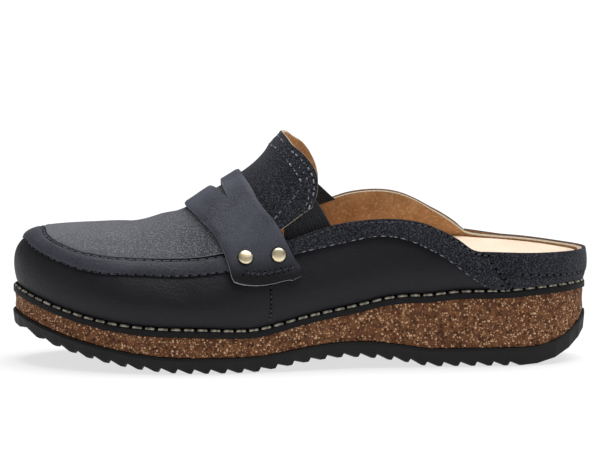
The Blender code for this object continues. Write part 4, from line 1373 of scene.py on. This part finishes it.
class Thread:
    """Gathers stitches and needle holes, then makes one mesh of each."""

    def __init__(self, name, finish="dark seam thread", width=SEAM_THREAD, hole_share=DARK_HOLES):
        self.name = name
        self.finish = finish
        self.width = width
        self.hole_share = hole_share
        self.stitches = bmesh.new()
        self.holes = bmesh.new()

    def stitch(self, start, end, normal):
        """One stitch, thick in its middle and diving into the leather at both ends."""
        line = end - start
        aside = normal.cross(line.normalized()).normalized()
        rings = []
        for share, swell, rise in STITCH_SHAPE:
            middle = start + line * share + normal * (self.width * rise)
            ring = []
            for corner in range(6):
                angle = math.pi / 3 * corner
                out = aside * math.cos(angle) + normal * (math.sin(angle) * STITCH_FLAT)
                ring.append(self.stitches.verts.new(middle + out * (self.width / 2 * swell)))
            rings.append(ring)
        for low, high in zip(rings, rings[1:]):
            for corner in range(6):
                after = (corner + 1) % 6
                self.stitches.faces.new((low[corner], low[after], high[after], high[corner]))
        self.stitches.faces.new(rings[0][::-1])
        self.stitches.faces.new(rings[-1])

    def hole(self, point, normal, size):
        """Dark disc of painted shade at a needle's hole, just proud of the leather."""
        aside = normal.orthogonal().normalized()
        other = normal.cross(aside)
        ring = []
        for corner in range(8):
            angle = math.pi / 4 * corner
            out = aside * math.cos(angle) + other * math.sin(angle)
            ring.append(self.holes.verts.new(point + out * size / 2 + normal * HOLE_PROUD))
        self.holes.faces.new(ring)

    def run(self, points, pitch, length):
        """Stitches of a length at a pitch along (point, normal) pairs."""
        places = walk(points, pitch)
        for (start, normal), (end, _) in zip(places, places[1:]):
            line = (end - start).normalized()
            middle = (start + end) / 2
            self.stitch(middle - line * length / 2, middle + line * length / 2, normal)
            self.hole(start, normal, self.width * self.hole_share)

    def run_seam(self, points):
        pitch = settings().seam_pitch
        self.run(points, pitch, pitch * SEAM_STITCH_SHARE)

    def zigzag(self, lower, upper):
        """Stitches that go up and down between two rows of spots."""
        places = [pair[index % 2] for index, pair in enumerate(zip(lower, upper))]
        for (start, normal), (end, _) in zip(places, places[1:]):
            line = (end - start) * ZIGZAG_CUT
            self.stitch(start + line, end - line, normal)
            self.hole(start, normal, self.width * ZIGZAG_HOLES)

    def finish_up(self, slot):
        for form, name, finish in ((self.stitches, self.name, self.finish),
                                   (self.holes, self.name + "_holes", "needle hole shade")):
            if form.faces:
                mesh = bpy.data.meshes.new(name)
                bmesh.ops.recalc_face_normals(form, faces=form.faces)
                form.to_mesh(mesh)
                declare(add_object(name, mesh, [finish]), slot)
            form.free()


def climb_past(turn, climb, distance):
    """Climb that lies a distance further up the leather."""
    step = (bare_skin(turn, climb + 1.0) - bare_skin(turn, climb)).length
    return climb + distance / step


def sew_sole():
    """Pale coarse stitches that hold the rand, in its groove all the way round."""
    thread = Thread("sole_stitches", "pale sole thread", SOLE_THREAD)
    points = []
    for turn in turns_around(fine_stations()):
        point = on_layer(turn, SOLE_STITCH_INSET, "rand", SOLE_STITCH_RISE)
        points.append((point, (edge_normal(turn) + Vector((0.0, 0.0, 1.0))).normalized()))
    pitch = settings().sole_pitch
    thread.run(points + points[:1], pitch, pitch * SOLE_STITCH_SHARE)
    thread.finish_up("rand_leather")


def sew_apron():
    """Two rows round the apron: under its edge, and along the band's lower edge."""
    thread = Thread("apron_stitches")
    for row in APRON_SEW:
        points = []
        for turn in turns_ahead(APRON_END):
            climb = climb_past(turn, read(SEAM, row.column, along_at(turn)), row.off)
            points.append(frame_at(turn, climb, LAY_GAP + ROLL_THICK * row.rise))
        thread.run_seam(points)
    thread.finish_up("nubuck")


def sew_strap():
    """The wavy double row across each end of the strap."""
    thread = Thread("strap_stitches")
    for _, side in SIDES:
        rows = ([], [])
        for step in even(STRAP_SEW_SPOTS):
            share = blend(STRAP_SEW_SIDES, 1.0 - STRAP_SEW_SIDES, step)
            turn = turn_at(side, read(STRAP_SEW, "along", share))
            for row, off in zip(rows, (0.0, STRAP_SEW_RISE)):
                climb = climb_past(turn, read(STRAP_SEW, "climb", share), off)
                row.append(strap_frame(turn, climb))
        thread.zigzag(*rows)
    thread.finish_up("strap_leather")


def sew_tongue():
    """A double row round the tongue's free edge and the line of its panel."""
    thread = Thread("tongue_stitches", "grey seam thread", hole_share=GREY_HOLES)
    face = LAY_GAP + TONGUE_THICK
    climbs = finer([row.climb for row in TONGUE], 5)
    for offset in (TONGUE_SEW, TONGUE_SEW + TONGUE_SEW_APART):
        points = []
        for side, climb in over_the_crown(climbs):
            turn = turn_at(side, tongue_back(side, climb) + offset / SOLE_LENGTH)
            points.append(frame_at(turn, climb, face - TONGUE_SEW_SINK))
        thread.run(points, *TONGUE_ROW)
    points = []
    for side, climb in over_the_crown([climb for climb in climbs if climb > PANEL_SEW_CLIMB]):
        turn = turn_at(side, read(TONGUE_PANEL, "along", climb) - PANEL_SEW / SOLE_LENGTH)
        points.append(frame_at(turn, climb, face))
    thread.run(points, *TONGUE_ROW)
    thread.finish_up("nubuck")


def end_row(side, ends, feet, lift):
    """Spots along a band's slanted end, from its foot's climb up to the upper's edge."""
    points = []
    for along, foot, share in zip(ends, feet, even(len(ends) - 1)):
        turn = turn_at(side, along)
        climb = blend(foot, top_climb(turn) - END_SEW_CLIMB, share)
        points.append(frame_at(turn, climb, lift))
    return points


def sew_collars():
    """Rows along both edges of each quarter's band, the lower one in a paler thread."""
    thread = Thread("collar_stitches")
    pale = Thread("collar_low_stitches", "grey seam thread", hole_share=GREY_HOLES)
    for _, side in SIDES:
        low_row = []
        high_row = []
        for step in even(59):
            along = blend(COLLAR_SEW_START, COLLAR_SEW_END, step)
            turn = turn_at(side, along)
            low = climb_past(turn, read(COLLAR, "climb", along), COLLAR_LOW_OFF)
            high = climb_past(turn, top_climb(turn) + EDGE_OVER, -EDGE_SEW)
            low_row.append(frame_at(turn, low, BAND_LIFT + BAND_THICK * COLLAR_LOW_RISE))
            if high - low > ROWS_APART:
                high_row.append(frame_at(turn, high, BAND_LIFT + BAND_THICK * COLLAR_HIGH_RISE))
        pale.run(low_row, *COLLAR_LOW)
        thread.run(high_row, *COLLAR_HIGH)
        ends = [blend(COLLAR_FOOT_END, COLLAR_TOP_END, share) + COLLAR_END_SEW
                for share in even(COLLAR_END_SPOTS)]
        feet = [read(COLLAR, "climb", along) for along in ends]
        thread.run(end_row(side, ends, feet, BAND_LIFT + BAND_THICK * COLLAR_END_RISE), *BAND_END)
    thread.finish_up("nubuck")
    pale.finish_up("nubuck")


def sew_side_seams():
    """The stitched line where the vamp laps the quarter, below the strap's end."""
    thread = Thread("side_seam_stitches")
    for _, side in SIDES:
        turn = turn_at(side, SIDE_SEAM)
        row = [frame_at(turn, SIDE_SEAM_TOP * share, -SEAM_DEPTH * SIDE_SEW_SINK)
               for share in even(20)[2:]]
        thread.run(row, *SIDE_ROW)
    thread.finish_up("smooth_leather")


def sew_cuff():
    """Rows under the heel's rim, along the seam across the cuff and down its slanted ends."""
    thread = Thread("cuff_stitches")
    rows = ([], [])
    for turn in turns_behind(CUFF_SEW_END):
        low = climb_past(turn, read(CUFF, "climb", along_at(turn)), CUFF_LOW_OFF)
        high = climb_past(turn, top_climb(turn) + EDGE_OVER, -EDGE_SEW)
        for row, climb in zip(rows, (low, high)):
            row.append(frame_at(turn, climb, LAY_GAP + CUFF_THICK * CUFF_SEW_RISE))
    for row in rows:
        thread.run_seam(row)
    for _, side in SIDES:
        ends = [blend(COLLAR_FOOT_END, COLLAR_TOP_END, share) - CUFF_CLEAR - CUFF_END_SEW
                for share in even(CUFF_END_SPOTS)]
        feet = [CUFF_FOOT_CLIMB + CUFF_FOOT_SEW] * len(ends)
        thread.run(end_row(side, ends, feet, LAY_GAP + CUFF_THICK), *BAND_END)
    thread.finish_up("nubuck")


def shade_round_rivets():
    """Painted shade: a dark disc under each rivet, wider than its head, shows as a dark ring of shade
    round it.
    """
    thread = Thread("rivet_seats")
    for _, side in SIDES:
        for rivet in RIVETS:
            point, normal = strap_frame(turn_at(side, rivet.along), rivet.climb)
            thread.hole(point, normal, RIVET_SHADE_WIDTH)
    thread.finish_up("strap_leather")


def make_stage():
    """White floor, soft light from above, and the camera at the photo's angle."""
    scene = bpy.context.scene
    form = bmesh.new()
    bmesh.ops.create_grid(form, x_segments=1, y_segments=1, size=FLOOR_REACH)
    mesh = bpy.data.meshes.new("studio_floor")
    form.to_mesh(mesh)
    form.free()
    add_object("studio_floor", mesh, ["white studio floor"])

    world = bpy.data.worlds.new("studio")
    world.use_nodes = True
    background = world.node_tree.nodes["Background"]
    background.inputs["Color"].default_value = linear("#f7f9ff")
    background.inputs["Strength"].default_value = WORLD_LIGHT
    scene.world = world
    for sun in SUNS:
        data = bpy.data.lights.new(sun.name, "SUN")
        data.energy = sun.strength
        data.angle = math.radians(sun.spread)
        lamp = bpy.data.objects.new(sun.name, data)
        lamp.rotation_euler = [math.radians(angle) for angle in sun.angles]
        scene.collection.objects.link(lamp)

    azimuth = math.radians(CAMERA_AZIMUTH)
    height = math.radians(CAMERA_HEIGHT)
    back = Vector((math.sin(azimuth) * math.cos(height), -math.cos(azimuth) * math.cos(height),
                   math.sin(height)))
    data = bpy.data.cameras.new("photo_view")
    data.sensor_width = 36.0
    data.lens = FOCAL_PIXELS / PHOTO_WIDTH * data.sensor_width
    camera = bpy.data.objects.new("photo_view", data)
    camera.location = back * CAMERA_DISTANCE
    aim = Vector(CAMERA_AIM) - camera.location
    camera.rotation_euler = aim.to_track_quat("-Z", "Y").to_euler()
    scene.collection.objects.link(camera)
    scene.camera = camera
    scene.view_settings.view_transform = "Standard"


def dress_outsole():
    """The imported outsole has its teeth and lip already, so it only takes the rubber."""
    frame["nodes"]["outsole"].material_slots[0].material = finish_of("black rubber")


class ClogDressSettings(bpy.types.PropertyGroup):
    """Sizes of the clog's dress that can be set by themselves."""
    sole_pitch: FloatProperty(name="Sole stitch pitch", default=0.0058, min=0.003, unit="LENGTH")
    seam_pitch: FloatProperty(name="Seam stitch pitch", default=0.0040, min=0.002, unit="LENGTH")
    fold_depth: FloatProperty(name="Fold depth", default=1.0, min=0.0, max=3.0)


class Step:
    """What every operator does: call the functions that its steps name, in their order."""

    def execute(self, context):
        for step in self.steps:
            step()
        return {"FINISHED"}


class StageOperator(Step, bpy.types.Operator):
    """Adds the floor, the light and the camera"""
    bl_idname = "clog.stage"
    bl_label = "Stage"
    steps = (make_stage,)


class SoleOperator(Step, bpy.types.Operator):
    """Dresses outsole, cork, rand and footbed"""
    bl_idname = "clog.sole"
    bl_label = "Sole"
    steps = (dress_outsole, make_midsole, make_rand, make_insole)


class UpperOperator(Step, bpy.types.Operator):
    """Builds the shell with its folds and lining"""
    bl_idname = "clog.upper"
    bl_label = "Upper"
    steps = (make_upper,)


class ApronOperator(Step, bpy.types.Operator):
    """Builds the apron and the band round it"""
    bl_idname = "clog.apron"
    bl_label = "Apron"
    steps = (make_apron, make_roll)


class TongueOperator(Step, bpy.types.Operator):
    """Builds the tongue and the elastic gores"""
    bl_idname = "clog.tongue"
    bl_label = "Tongue and gores"
    steps = (make_tongue, make_gores)


class StrapOperator(Step, bpy.types.Operator):
    """Builds the saddle strap and its rivets"""
    bl_idname = "clog.strap"
    bl_label = "Strap"
    steps = (make_strap, make_rivets, shade_round_rivets)


class BandsOperator(Step, bpy.types.Operator):
    """Builds the bands of collar and heel"""
    bl_idname = "clog.bands"
    bl_label = "Collar and cuff"
    steps = (make_collars, make_cuff)


class StitchesOperator(Step, bpy.types.Operator):
    """Sews every seam"""
    bl_idname = "clog.stitches"
    bl_label = "Stitches"
    steps = (sew_sole, sew_apron, sew_strap, sew_tongue, sew_collars, sew_cuff, sew_side_seams)


OPERATORS = (StageOperator, SoleOperator, UpperOperator, ApronOperator, TongueOperator,
             StrapOperator, BandsOperator, StitchesOperator)


class ClogPanel(bpy.types.Panel):
    """Sizes and steps of the clog's dress"""
    bl_idname = "VIEW3D_PT_clog_dress"
    bl_label = "Clog"
    bl_space_type = "VIEW_3D"
    bl_region_type = "UI"
    bl_category = "Clog"

    def draw(self, context):
        for name in ("sole_pitch", "seam_pitch", "fold_depth"):
            self.layout.prop(context.scene.clog_dress, name)
        for operator in OPERATORS:
            self.layout.operator(operator.bl_idname)


CLASSES = (ClogDressSettings, *OPERATORS, ClogPanel)


def register():
    for kind in CLASSES:
        bpy.utils.register_class(kind)
    bpy.types.Scene.clog_dress = PointerProperty(type=ClogDressSettings)


def unregister():
    del bpy.types.Scene.clog_dress
    for kind in reversed(CLASSES):
        bpy.utils.unregister_class(kind)


def main():
    register()
    bpy.ops.clog.stage()
    bpy.ops.clog.sole()
    bpy.ops.clog.upper()
    bpy.ops.clog.apron()
    bpy.ops.clog.tongue()
    bpy.ops.clog.strap()
    bpy.ops.clog.bands()
    bpy.ops.clog.stitches()


if __name__ == "__main__":
    main()
